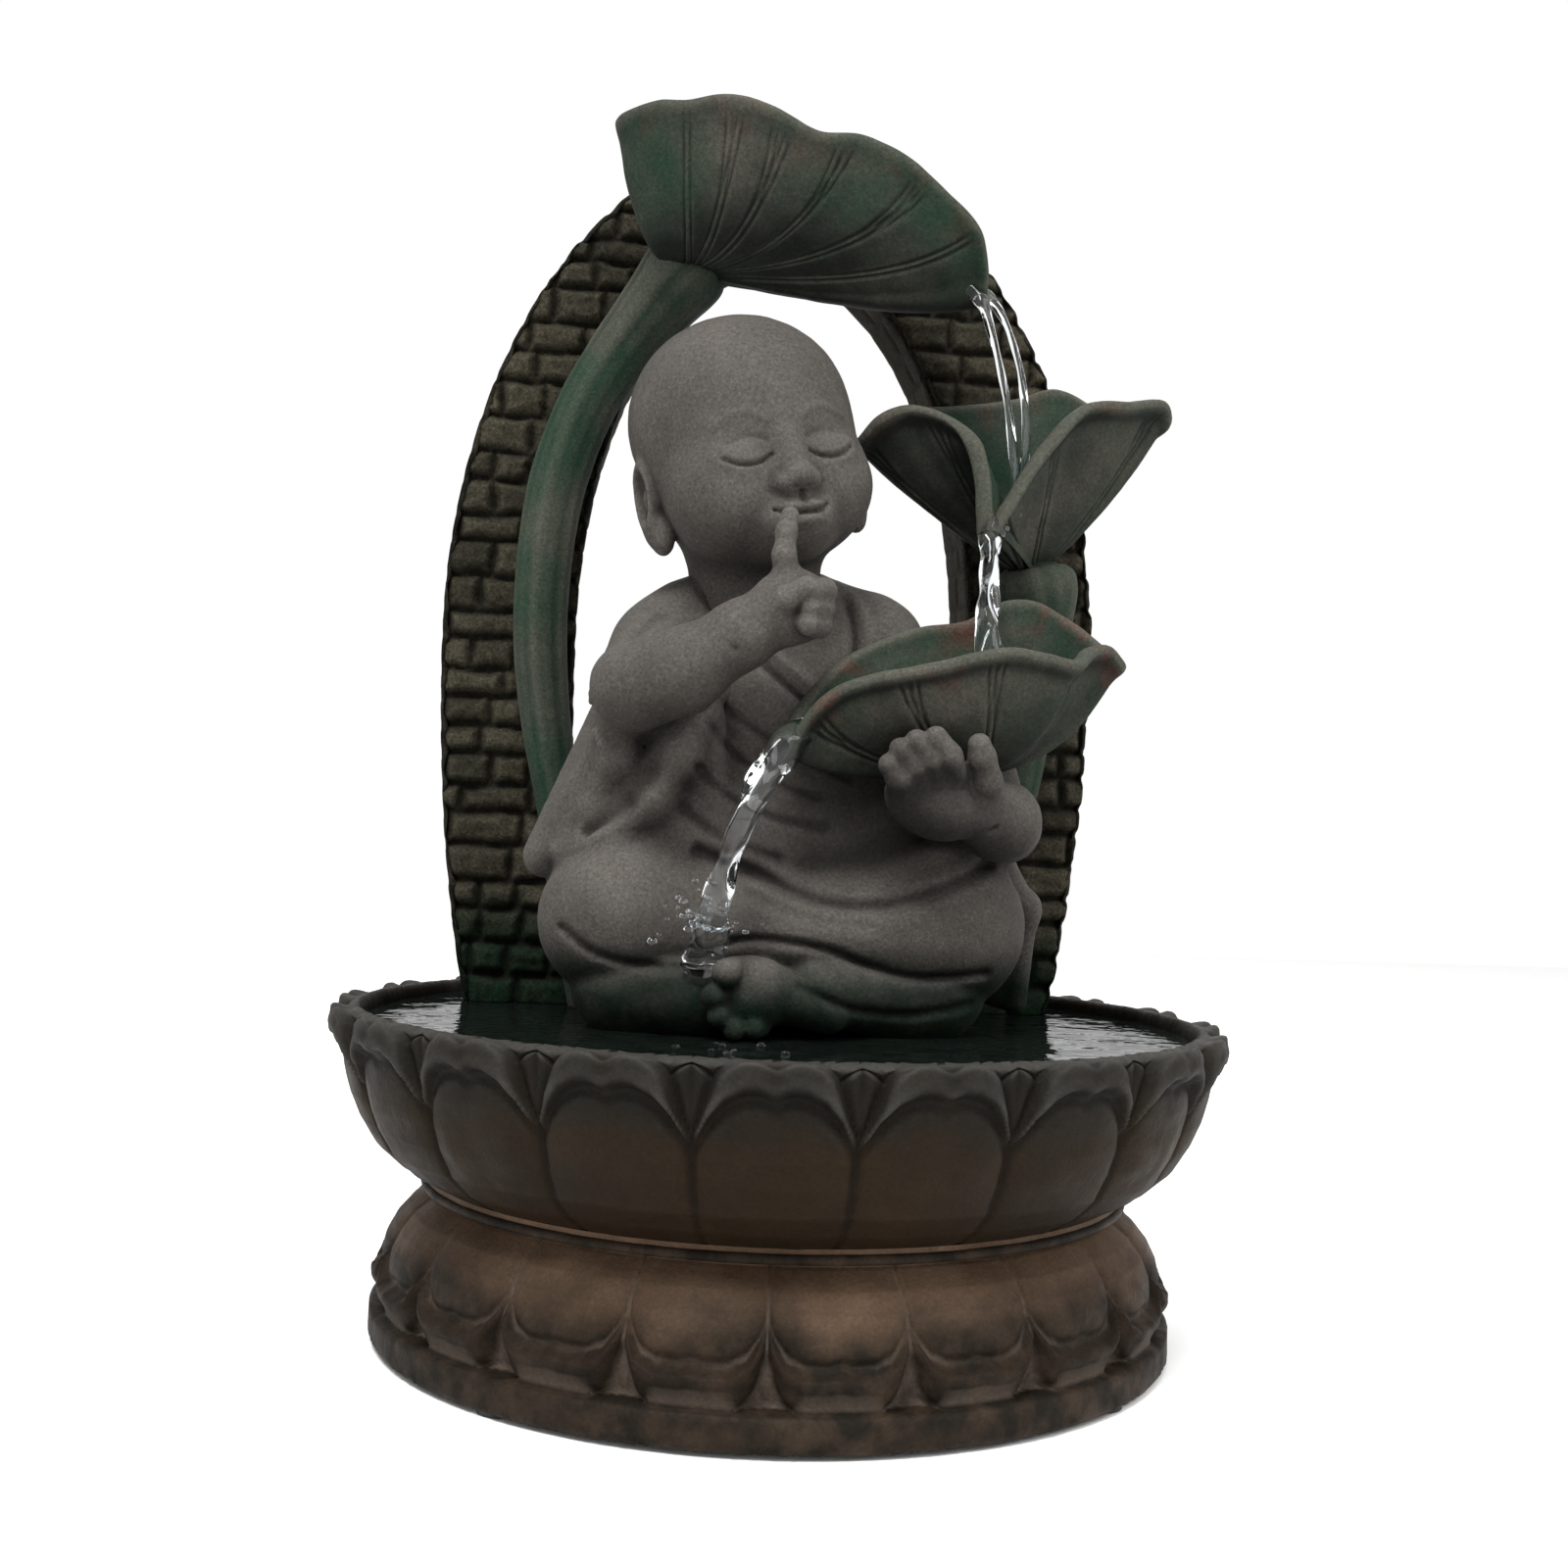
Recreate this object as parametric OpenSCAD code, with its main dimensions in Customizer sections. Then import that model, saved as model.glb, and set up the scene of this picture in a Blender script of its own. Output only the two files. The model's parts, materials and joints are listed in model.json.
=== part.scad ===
// Tabletop water fountain. A lotus basin stands on a lotus pedestal and holds the pump.
// The sculpture lifts out of it: a deck on four legs, a brick arch, a seated child and three
// lotus leaves that pass the water down from one to the next.
// Units are millimetres. +Z is up, the front faces -Y, the origin is under the middle of the base.

/* [Basin and pedestal] */
// Radius of the plinth
plinth_r = 126; // [120:1:130]
// Inner radius of the basin at its rim
rim_r = 133; // [132:0.5:134]
// Radius of the basin over its petals
basin_r = 139; // [138:0.5:141]
// Number of petals around the basin, and around the pedestal
petals = 20; // [16:1:24]
// How far the petals are turned from the front, in degrees
petal_turn = -8; // [-9:0.5:9]

/* [Arch] */
// Half of the arch's outer width
arch_a = 115.5; // [113:0.5:118]
// Half of the window's width
gate_a = 70; // [67:0.5:73]
// Height from the arch's widest level to its top
arch_rise = 179; // [176:1:182]
// Depth of the arch from front to back
arch_t = 30; // [28:1:32]

/* [Pump and hose] */
// Outer radius of the riser hose
hose_r = 4.5; // [4.3:0.1:4.8]
// Inner radius of the riser hose
hose_bore = 3.1; // [3:0.05:3.3]
// Length of the pump's motor housing
motor_l = 38; // [34:1:42]
// How far the flow slider is open
slider_open = 0; // [0:0.5:6]

/* [Hidden] */
$fn = 48;

// Levels
foot_t = 1.5;
plinth_top = 11;
ped_top = 46;
floor_z = 51;
deck_bottom = 91;
deck_top = 97;
rim_z = 102;
arch_mid_z = 226;

// Deck
deck_r = 118;
pool = [0, -125];
pool_r = 75;
leg_r = 6;
legs = [for (a = [218, 322, 55, 125]) [97 * cos(a), (a > 180 ? 98 : 95) * sin(a)]];

// Arch: half an ellipse above its widest level, and the start of a longer one below it
arch_front = 45;
arch_back = arch_front + arch_t;
arch_drop = 285;
gate_rise = 140;
gate_drop = 298;
foot_screws = [[-97, 60], [-70, 60], [70, 60], [97, 60]];

// Hose: it climbs the arch's left limb in a channel that is open to the back
hose_y = 60;
hose_a = 92.5;
hose_rise = 159;
hose_drop = 292;
hose_end = 61;
channel_w = 13;
channel_y = 54;
elbow_at = [-hose_a * cos(hose_end), arch_mid_z + hose_rise * sin(hose_end)];
elbow_way = unit([hose_a * sin(hose_end), hose_rise * cos(hose_end)]);
clip_levels = [130, 190, 250];

// Pump: its axis lies along X, and the intake looks to the left
pump = [-75, 50, 66];
pump_w = 28;
pump_bottom = 54;
pump_top = 80;
volute_r = 12;
volute_l = 14;
volute_x = pump.x - volute_l;
barb = [-82, hose_y];
barb_r = 2.8;
shaft_r = 1.2;
rotor_bore = 1.3;
intake_t = 5;
slider_x = volute_x - intake_t;

// Child
head_at = [-18, -6, 283];

// ---- Helpers ----

function flat(list) = [for (a = list) for (b = a) b];
function lerp(a, b, t) = a + (b - a) * t;
function unit(v) = v / norm(v);
function mean(p) = [for (k = [0 : 2]) let (s = [for (q = p) q[k]]) s * [for (q = p) 1] / len(p)];

// A smooth closed loop of n points through the points p.
function smooth_loop(p, n) = [
    for (i = [0 : n - 1]) let (m = len(p), s = i * m / n, k = floor(s))
        knot(p[(k + m - 1) % m], p[k % m], p[(k + 1) % m], p[(k + 2) % m], s - k)
];
function knot(a, b, c, d, t) =
    (2 * b + (c - a) * t + (2 * a - 5 * b + 4 * c - d) * t * t + (3 * b - a - 3 * c + d) * t * t * t) / 2;

// Triangles between ring j and the ring after it, each with n points.
function band(j, k, n) = [
    for (i = [0 : n - 1]) let (a = j * n + i, b = j * n + (i + 1) % n, c = k * n + (i + 1) % n, d = k * n + i)
        each [[a, c, b], [a, d, c]]
];
// A solid through a list of rings, closed at both ends.
module loft(rings) {
    n = len(rings[0]);
    m = len(rings);
    walls = flat([for (j = [0 : m - 2]) band(j, j + 1, n)]);
    ends = [for (i = [0 : n - 1]) each [
        [m * n, i, (i + 1) % n],
        [m * n + 1, (m - 1) * n + (i + 1) % n, (m - 1) * n + i]]];
    polyhedron(concat(flat(rings), [mean(rings[0]), mean(rings[m - 1])]), concat(walls, ends), convexity = 8);
}
// A hollow solid through a list of rings, whose last ring joins the first.
module round_loft(rings) {
    n = len(rings[0]);
    m = len(rings);
    polyhedron(flat(rings), flat([for (j = [0 : m - 1]) band(j, (j + 1) % m, n)]), convexity = 8);
}

// A ring of 12 points around the point p, square to the direction d.
function hoop(p, d, r) = let (side = unit(cross(d, [0, 1, 0])), up = cross(d, side))
    [for (i = [0 : 11]) p + r * (cos(i * 30) * side + sin(i * 30) * up)];
module tube(path, r, bore) {
    n = len(path);
    way = [for (i = [0 : n - 1]) unit(path[min(i + 1, n - 1)] - path[max(i - 1, 0)])];
    round_loft(concat(
        [for (i = [0 : n - 1]) hoop(path[i], way[i], r)],
        [for (i = [n - 1 : -1 : 0]) hoop(path[i], way[i], bore)]));
}

// An egg-shaped mass, and a limb between two balls.
module egg(p, r, turn = [0, 0, 0]) translate(p) rotate(turn) hull() scale(r) sphere(1, $fn = 20);
module limb(a, ra, b, rb) hull() {
    translate(a) sphere(ra, $fn = 16);
    translate(b) sphere(rb, $fn = 16);
}
// A chain of limbs through points that are given as [x, y, z, radius].
module chain(p) for (i = [0 : len(p) - 2])
    limb([p[i].x, p[i].y, p[i].z], p[i][3], [p[i + 1].x, p[i + 1].y, p[i + 1].z], p[i + 1][3]);
// A cylinder along X from x0 to x1, through the pump's axis.
module on_axis(x0, x1, r) translate([x0, pump.y, pump.z]) rotate([0, 90, 0]) cylinder(r = r, h = x1 - x0);
// A cylinder along Y from y0 to y1.
module along_y(x, z, y0, y1, r) translate([x, y0, z]) rotate([-90, 0, 0]) cylinder(r = r, h = y1 - y0);
module below_deck() translate([-150, -150, -1]) cube([300, 300, deck_top + 1]);

// ---- Basin and pedestal ----

columns = petals * 6;
// Where an angle lies on its petal: 0 on the petal's middle line, 1 in the gap beside it.
function across(a, shift) = let (t = (a - petal_turn) * petals / 360 + shift) 2 * abs(t - round(t));
function ring(r, z) = [for (i = [0 : columns - 1]) let (a = petal_turn + i * 360 / columns) [r * sin(a), -r * cos(a), z]];

// Each wall is a list of [height, radius] from the bottom up.
basin_wall = [[46, 104], [50, 110.5], [55, 120], [61, 126.5], [69, 132], [76, 135.5], [84, 138], [90, 139], [97, 140]];
function basin_lip(t) = rim_z - 10 - 12 * pow(t, 2);
function basin_at(t, z) = lookup(z, basin_wall) + basin_r - 139
    - (z - 50) / 10 * pow(t, 2.5) + (z > basin_lip(t) ? 2 : 0);
function petal_ring(z) = [
    for (i = [0 : columns - 1]) let (a = petal_turn + i * 360 / columns, r = basin_at(across(a, 0), z))
        [r * sin(a), -r * cos(a), z - (z > 98 ? 3 * pow(across(a, 0), 2) : 0)]
];

module lotus_basin() color("#48433f") difference() {
    loft(concat(
        [ring(110.5, ped_top), ring(110.5, ped_top + 3)],
        [for (z = [51, 55, 61, 69, 76, 83, 88, 92, 96, 100]) petal_ring(z)],
        [ring(rim_r + 3, rim_z), ring(rim_r, rim_z), ring(rim_r - 2, 94),
         ring(127, 74), ring(118, 60), ring(107, floor_z)]));
    screw_ring(1.6, 53, 8.5);
    cord_notch(5, rim_z - 4);
}
// Four places around the pedestal's top flange.
module screw_ring(r, top, h) for (a = [45 : 90 : 315])
    rotate(a) translate([90, 0, min(top, floor_z - 1.5) - h]) cylinder(r = r, h = h);
// A round-bottomed notch through the rim at the back, for the pump's lead.
module cord_notch(r, z) {
    along_y(0, z, rim_r - 15, rim_r + 20, r);
    translate([-r, rim_r - 15, z]) cube([2 * r, 35, 20]);
}
module notch_grommet() color("#1c1c1c") difference() {
    union() {
        along_y(0, rim_z - 4, rim_r - 2, rim_r + 6, 5);
        translate([-5, rim_r - 2, rim_z - 4]) cube([10, 8, 4]);
    }
    along_y(0, rim_z - 4, rim_r - 3, rim_r + 7, 3.2);
    translate([-2.6, rim_r - 3, rim_z - 4]) cube([5.2, 10, 5]);
}

ped_wall = [[11, 123], [15, 124.5], [20, 124], [28, 123], [35, 119.5], [40, 115], [45, 108.5]];
function ped_lip(t) = 15 + 9 * pow(t, 2);
function ped_at(t, z) = lookup(z, ped_wall) - (45 - z) / 10 * pow(t, 2.5) + (z < ped_lip(t) ? 2 : 0);
module pedestal() color("#4d4136") difference() {
    round_loft(concat(
        [ring(plinth_r - 18, foot_t), ring(plinth_r, foot_t), ring(plinth_r, plinth_top)],
        [for (z = [11.5, 14, 17, 21, 25, 30, 35, 40, 44]) [
            for (i = [0 : columns - 1]) let (a = petal_turn + i * 360 / columns, r = ped_at(across(a, 0.5), z))
                [r * sin(a), -r * cos(a), z]]],
        [ring(107, ped_top), ring(70, ped_top), ring(70, 42), ring(102, 42), ring(112, 32), ring(112, 12)]));
    screw_ring(2.2, 47, 8);
}
module pedestal_screws() color("silver") for (a = [45 : 90 : 315]) rotate(a) translate([90, 0, 0]) {
    translate([0, 0, 39.5]) cylinder(r = 4, h = 2.5);
    translate([0, 0, 42]) cylinder(r = 1.6, h = 7);
}
module rubber_feet() color("#1c1c1c") for (a = [45 : 90 : 315])
    rotate(a) translate([plinth_r - 9, 0, 0]) cylinder(r = 7.5, h = foot_t);

// ---- Pump ----

module suction_cups() color("#1c1c1c") for (x = [8, motor_l - 8], y = [-8, 8])
    translate([pump.x + x, pump.y + y, floor_z]) {
        cylinder(r = 4.5, h = 1);
        cylinder(r = 2.5, h = pump_bottom - floor_z);
    }
module motor_room(gap) translate([pump.x + 24, pump.y - 11 + gap, pump_bottom + 3 + gap])
    cube([motor_l - 27 - gap, 22 - 2 * gap, pump_top - pump_bottom - 6 - 2 * gap]);
module pump_housing() color("#222426") {
    difference() {
        translate([pump.x, pump.y - pump_w / 2, pump_bottom]) cube([motor_l, pump_w, pump_top - pump_bottom]);
        on_axis(pump.x - 1, pump.x + 20, 8);
        on_axis(pump.x + 19, pump.x + 22, shaft_r);
        motor_room(0);
    }
    // The gland that the lead comes out of
    on_axis(pump.x + motor_l, pump.x + motor_l + 6, 4.5);
}
module motor_coil() color("#b87333") motor_room(0.2);
module pump_shaft() color("silver") on_axis(volute_x + 1, pump.x + 22, shaft_r);
module rotor_magnet() color("#3a3a3a") difference() {
    on_axis(pump.x + 1, pump.x + 18.5, 7.3);
    on_axis(pump.x, pump.x + 19, rotor_bore);
}
module impeller() color("#e8e8e0") difference() {
    union() {
        on_axis(volute_x + 3.5, pump.x + 1, 3.5);
        for (a = [0 : 60 : 300]) translate([volute_x + 3.5, pump.y, pump.z]) rotate([a, 0, 0])
            translate([0, -0.6, 3]) cube([7.5, 1.2, 5.6]);
    }
    on_axis(volute_x + 3, pump.x + 2, rotor_bore);
}
module volute_cover() color("#222426") difference() {
    union() {
        on_axis(volute_x, pump.x, volute_r);
        translate([barb.x, barb.y, pump.z]) cylinder(r = 4.5, h = pump_top - pump.z);
        translate([barb.x, barb.y, pump_top]) cylinder(r = barb_r, h = 9);
    }
    on_axis(volute_x + 2, pump.x + 1, 9.5);
    translate([barb.x, barb.y, pump.z]) cylinder(r = 1.9, h = 30);
    // The shaft's seat, and the inlet around it
    on_axis(volute_x + 1, volute_x + 3, shaft_r);
    for (a = [0 : 90 : 270]) translate([volute_x - 1, pump.y, pump.z]) rotate([a + 45, 0, 0])
        translate([0, 4.5, 0]) rotate([0, 90, 0]) cylinder(r = 1.8, h = 4);
}
module intake_cover() color("#2b2d30") difference() {
    union() {
        on_axis(slider_x, volute_x, 10);
        // Rails that guide the flow slider
        for (y = [-5.2, 4.2]) translate([slider_x - 1.5, pump.y + y, pump.z - 8.5]) cube([2, 1, 15]);
    }
    on_axis(slider_x + 2, volute_x + 1, 8.2);
    for (y = [-6 : 3 : 6]) translate([slider_x - 1, pump.y + y - 0.7, pump.z - 5]) cube([4, 1.4, 10]);
}
module filter_sponge() color("#33383c") on_axis(slider_x + 2.1, volute_x - 0.2, 8);
module flow_slider() color("#c8c8c0") translate([slider_x - 1.5, pump.y - 4, pump.z - 8 + slider_open]) {
    cube([1.4, 8, 6]);
    translate([-1, 2, 1]) cube([1, 4, 1.5]);
}

// ---- Deck, arch and hose ----

module deck_plate() color("#26292a") difference() {
    union() {
        translate([0, 0, deck_bottom]) cylinder(r = deck_r, h = deck_top - deck_bottom, $fn = 96);
        for (p = legs) translate([p.x, p.y, floor_z]) cylinder(r = leg_r, h = deck_bottom - floor_z);
    }
    translate([pool.x, pool.y, deck_bottom - 1]) cylinder(r = pool_r, h = 10, $fn = 96);
    translate([barb.x, barb.y, deck_bottom - 1]) cylinder(r = 5.5, h = 10);
    for (p = foot_screws) translate([p.x, p.y, deck_bottom - 1]) cylinder(r = 2.2, h = 10);
}
module arch_screws() color("silver") for (p = foot_screws) translate([p.x, p.y, deck_bottom - 2.5]) {
    cylinder(r = 4, h = 2.5);
    cylinder(r = 2, h = 20);
}

// The outline of an arch: half width a, height above its widest level, depth of the ellipse below it.
function arch_outline(a, rise, drop) = let (low = arch_mid_z - deck_top, end = asin(low / drop)) concat(
    [for (t = [0 : 4 : 180]) [a * cos(t), rise * sin(t)]],
    [for (t = [end / 6 : end / 6 : end]) [-a * cos(t), -drop * sin(t)]],
    [for (t = [end : -end / 6 : end / 6]) [a * cos(t), -drop * sin(t)]]);
module arch_slab(y0, y1) translate([0, y1, arch_mid_z]) rotate([90, 0, 0]) linear_extrude(y1 - y0) children();

function channel_point(z) = [-hose_a * sqrt(1 - pow((arch_mid_z - z) / hose_drop, 2)), z];
hose_line = concat(
    [[barb.x, deck_top + 4]],
    [for (z = [120 : 20 : 220]) channel_point(z)],
    [for (t = [4 : 6 : 52]) [-hose_a * cos(t), arch_mid_z + hose_rise * sin(t)]],
    [elbow_at - 14 * elbow_way]);
// The line moved sideways by d.
function beside(line, d) = [
    for (i = [0 : len(line) - 1]) let (w = unit(line[min(i + 1, len(line) - 1)] - line[max(i - 1, 0)]))
        line[i] + d * [-w.y, w.x]
];
module channel() translate([0, arch_back + 1, 0]) rotate([90, 0, 0]) linear_extrude(arch_back + 1 - channel_y)
    let (line = concat([[barb.x, deck_top - 5]], hose_line, [elbow_at]))
        polygon(concat(beside(line, channel_w / 2), [for (i = [len(line) - 1 : -1 : 0])
            beside(line, -channel_w / 2)[i]]));

module brick_arch() color("#55503f") difference() {
    arch_slab(arch_front, arch_back) difference() {
        polygon(arch_outline(arch_a, arch_rise, arch_drop));
        polygon(arch_outline(gate_a, gate_rise, gate_drop));
    }
    channel();
    along_y(elbow_at.x, elbow_at.y, channel_y, arch_back + 1, 8);
    along_y(elbow_at.x, elbow_at.y, arch_front - 1, channel_y + 1, 5.2);
    for (p = foot_screws) translate([p.x, p.y, deck_top - 1]) cylinder(r = 2, h = 12.5);
}
module hose_cuff() color("#1c1c1c") difference() {
    translate([barb.x, barb.y, 81]) cylinder(r = 7, h = deck_bottom - 81);
    translate([barb.x, barb.y, 80]) cylinder(r = barb_r + 0.15, h = 12);
    translate([barb.x, barb.y, 85]) cylinder(r = hose_r, h = 10);
}
module riser_hose() color("#30363a") tube(
    concat([[barb.x, hose_y, 85], [barb.x, hose_y, 93]],
        [for (p = hose_line) [p.x, hose_y, p.y]],
        [[elbow_at.x - 6 * elbow_way.x, hose_y, elbow_at.y - 6 * elbow_way.y]]),
    hose_r, hose_bore);
module elbow_arm(from, to, r) translate([elbow_at.x, hose_y, elbow_at.y])
    rotate([0, atan2(-elbow_way.x, -elbow_way.y), 0]) translate([0, 0, from]) cylinder(r = r, h = to - from);
module spout_elbow() color("#222426") difference() {
    union() {
        translate([elbow_at.x, hose_y, elbow_at.y]) sphere(6.8);
        elbow_arm(0, 14, 5.8);
        along_y(elbow_at.x, elbow_at.y, 36, hose_y, 5);
    }
    elbow_arm(6, 15, hose_r);
    elbow_arm(1, 7, hose_bore);
    along_y(elbow_at.x, elbow_at.y, 35, hose_y - 1, hose_bore);
    translate([elbow_at.x, hose_y, elbow_at.y]) sphere(3.9);
}
module hose_clips() color("#222426") for (z = clip_levels) let (p = channel_point(min(z, arch_mid_z)))
    translate([p.x - 11, arch_back, z - 4]) cube([22, 1.6, 8]);

// ---- Leaves ----

// A leaf is a cup: its heart, where the stalk meets it, its rim as a loop of points, how much its
// sides are rounded, how far its middle hangs down, and the point that its inside faces.
top_heart = [-38, 18, 346];
top_rim = [
    [56, -14, 333], [59, 2, 339], [54, 18, 350], [38, 30, 363], [12, 40, 373], [-20, 42, 380],
    [-46, 34, 386], [-61, 16, 390], [-63, 0, 389], [-52, -14, 389], [-43, -20, 387.5], [-34, -24, 388.5],
    [-25, -27, 387.5], [-14, -29, 383.5], [-2, -30, 377.5], [12, -30, 377.5], [27, -30, 371.5],
    [41, -28, 361.5], [51, -26, 352.5], [55, -21, 342]
];
middle_heart = [84, 18, 248];
middle_rim = [
    [60, -16, 257], [67, -15, 267], [74, -13, 279], [82, -10, 290], [95, -5, 303.5], [112, 1, 307],
    [126, 9, 310.5], [129, 15, 305], [121, 26, 303], [110, 33, 312], [97, 38, 319], [82, 41, 315],
    [62, 41, 311.5], [45, 36, 308], [30, 24, 298], [20, 8, 289], [20, -2, 288], [25, -9, 294],
    [34, -11.5, 297.5], [46, -12.5, 295], [54, -13.5, 288], [57.5, -15, 276], [58.5, -16, 264]
];
lower_heart = [52, -40, 178];
lower_rim = [
    [-8, -54, 181], [-3, -61, 192], [5, -65, 200], [15, -66, 204], [26, -67, 206.5], [36, -67, 209],
    [46, -66, 212], [56, -65, 214], [67, -63, 213], [78, -58, 212], [85, -50, 217], [92, -44, 218.5],
    [98, -38, 214.5], [92, -28, 223], [84, -21, 230], [75, -17, 235], [65, -15, 234], [53, -16, 227],
    [38, -18, 224], [21, -24, 217], [8, -31, 208], [-3, -42, 195]
];
leaf_t = 3.5;

function leaf_ring(rim, heart, round, hang, s) = [
    for (p = rim) let (h = lerp(s, sin(90 * s), round), g = lerp(s, 1 - cos(90 * s), round), d = p - heart)
        heart + [d.x * h, d.y * h, d.z * g] + hang * sin(180 * s)
];
function inward(ring, focus) = [for (p = ring) p + leaf_t * unit(focus - p)];
module leaf(points, heart, round, hang, focus, sides = 48) {
    rim = smooth_loop(points, sides);
    outer = [for (s = [0.12, 0.3, 0.48, 0.64, 0.78, 0.9, 1]) leaf_ring(rim, heart, round, hang, s)];
    loft(concat(outer, [for (j = [len(outer) - 1 : -1 : 0]) inward(outer[j], focus)]));
}
// The same leaf with its hollow filled.
module leaf_mass(points, heart, round, hang, sides = 48) {
    rim = smooth_loop(points, sides);
    loft([for (s = [0.12, 0.3, 0.48, 0.64, 0.78, 0.9, 1]) leaf_ring(rim, heart, round, hang, s)]);
}
module top_leaf() color("#3c4a42") leaf(top_rim, top_heart, 0.55, [0, -4, -9], [0, 12, 392]);
module top_mass() leaf_mass(top_rim, top_heart, 0.55, [0, -4, -9]);
module middle_leaf() color("#44504a") leaf(middle_rim, middle_heart, 0.35, [0, 0, 3], [76, 14, 300]);
module middle_mass() leaf_mass(middle_rim, middle_heart, 0.35, [0, 0, 3]);
module lower_leaf() color("#4a524c") leaf(lower_rim, lower_heart, 0.5, [0, 0, -3], [48, -40, 222]);
module lower_mass() leaf_mass(lower_rim, lower_heart, 0.5, [0, 0, -3]);

stem_line = [
    [-60, 34, 92, 7], [-68, 34, 130, 7], [-73, 35, 163, 7.5], [-79, 35, 195, 8.5], [-82, 35, 226, 9.2],
    [-81, 35, 255, 9.6], [-77, 35, 280, 9.8], [-69, 34, 303, 10], [-58, 32, 322, 10.5], [-46, 26, 338, 12],
    [-38, 20, 348, 13]
];
module lotus_stem() color("#3f5a49") difference() {
    chain(stem_line);
    below_deck();
    top_mass();
    translate([-150, arch_front, 0]) cube([200, 50, 420]);
}
stalk_line = [[87, 40, 176, 8], [88, 34, 196, 9], [89, 30, 216, 10], [89, 26, 234, 11], [86, 20, 252, 13]];
module middle_stalk() color("#3f4a42") difference() {
    chain(stalk_line);
    middle_mass();
    lower_mass();
    left_sleeve();
    // The stalk's foot sits flat on the arch
    translate([50, arch_front, 100]) cube([100, 50, 200]);
}

// ---- Child ----

module body_mass() {
    egg([-2, 2, 120], [60, 36, 27]);
    egg([0, -8, 163], [40, 30, 38]);
    egg([-8, 0, 200], [41, 26, 34]);
    limb([-42, 2, 217], 15, [26, 2, 224], 14);
    // Thighs, then the shins that cross in front
    limb([-22, 0, 120], 25, [-54, -22, 128], 23);
    limb([-54, -24, 124], 22, [-14, -42, 112], 13);
    limb([20, 0, 122], 27, [46, -20, 130], 26);
    limb([46, -22, 124], 24, [6, -42, 112], 13);
    egg([-12, -46, 106], [20, 12, 10]);
    // The robe that hangs from the shoulder on each side
    hull() for (p = [[-46, 2, 220, 9], [-72, 6, 152, 5], [-52, -20, 160, 5], [-60, -8, 192, 7]])
        translate([p.x, p.y, p.z]) sphere(p[3], $fn = 12);
    hull() for (p = [[64, -4, 160, 9], [76, 2, 112, 4], [58, 14, 108, 6]])
        translate([p.x, p.y, p.z]) sphere(p[3], $fn = 12);
    left_sleeve();
}
module left_sleeve() limb([30, 2, 222], 14, [64, -12, 164], 13);
module figure_body() color("#635c56") difference() {
    body_mass();
    below_deck();
    lower_mass();
}
module head_mass() {
    translate(head_at) rotate([0, -12, 0]) rotate([0, 0, 20]) {
        egg([0, 2, 5], [35, 38, 37]);
        egg([0, -6, -14], [28, 30, 30]);
        for (side = [-1, 1]) egg([side * 34, 3, -16], [4, 8, 13]);
    }
    limb([-14, 0, 240], 17, [-12, 2, 222], 19);
    // The collar under the neck
    limb([-24, 2, 222], 12, [4, 2, 226], 12);
    egg([-18, -38, 262], [6, 6, 6]);
    egg([-18, 4, 250], [20, 18, 14]);
}
module figure_head() color("#6a635c") difference() {
    head_mass();
    body_mass();
    top_mass();
}
module raised_arm() color("#635c56") difference() {
    union() {
        limb([-50, -18, 205], 13.5, [-50, -38, 193], 12);
        limb([-50, -40, 193], 11.5, [-17, -50, 222], 8.5);
        egg([-6, -51, 228], [10, 8, 10]);
        limb([-7, -50, 232], 4, [-8, -53, 252], 3.4);
    }
    body_mass();
    head_mass();
}
module holding_hand() color("#635c56") difference() {
    union() {
        limb([66, -20, 158], 12, [56, -50, 164], 9);
        egg([48, -60, 174], [13, 9, 10]);
        for (x = [30 : 7 : 51]) limb([x + 4, -66, 172], 3.6, [x, -72, 190], 3.2);
        limb([56, -60, 174], 4, [58, -68, 190], 3.4);
    }
    body_mass();
    lower_mass();
}

rubber_feet();
pedestal();
pedestal_screws();
lotus_basin();
notch_grommet();
suction_cups();
pump_housing();
motor_coil();
pump_shaft();
volute_cover();
rotor_magnet();
impeller();
intake_cover();
filter_sponge();
flow_slider();
deck_plate();
arch_screws();
brick_arch();
hose_cuff();
riser_hose();
spout_elbow();
hose_clips();
lotus_stem();
top_leaf();
middle_stalk();
middle_leaf();
lower_leaf();
figure_body();
figure_head();
raised_arm();
holding_hand();
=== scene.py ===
"""Looks of the tabletop water fountain: a lotus basin, a brick arch, a seated child and three leaves.

Shapes are worked out in millimetres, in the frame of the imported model, and turned into metres
when their mesh is made.
"""
import itertools
import json
import math

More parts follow.
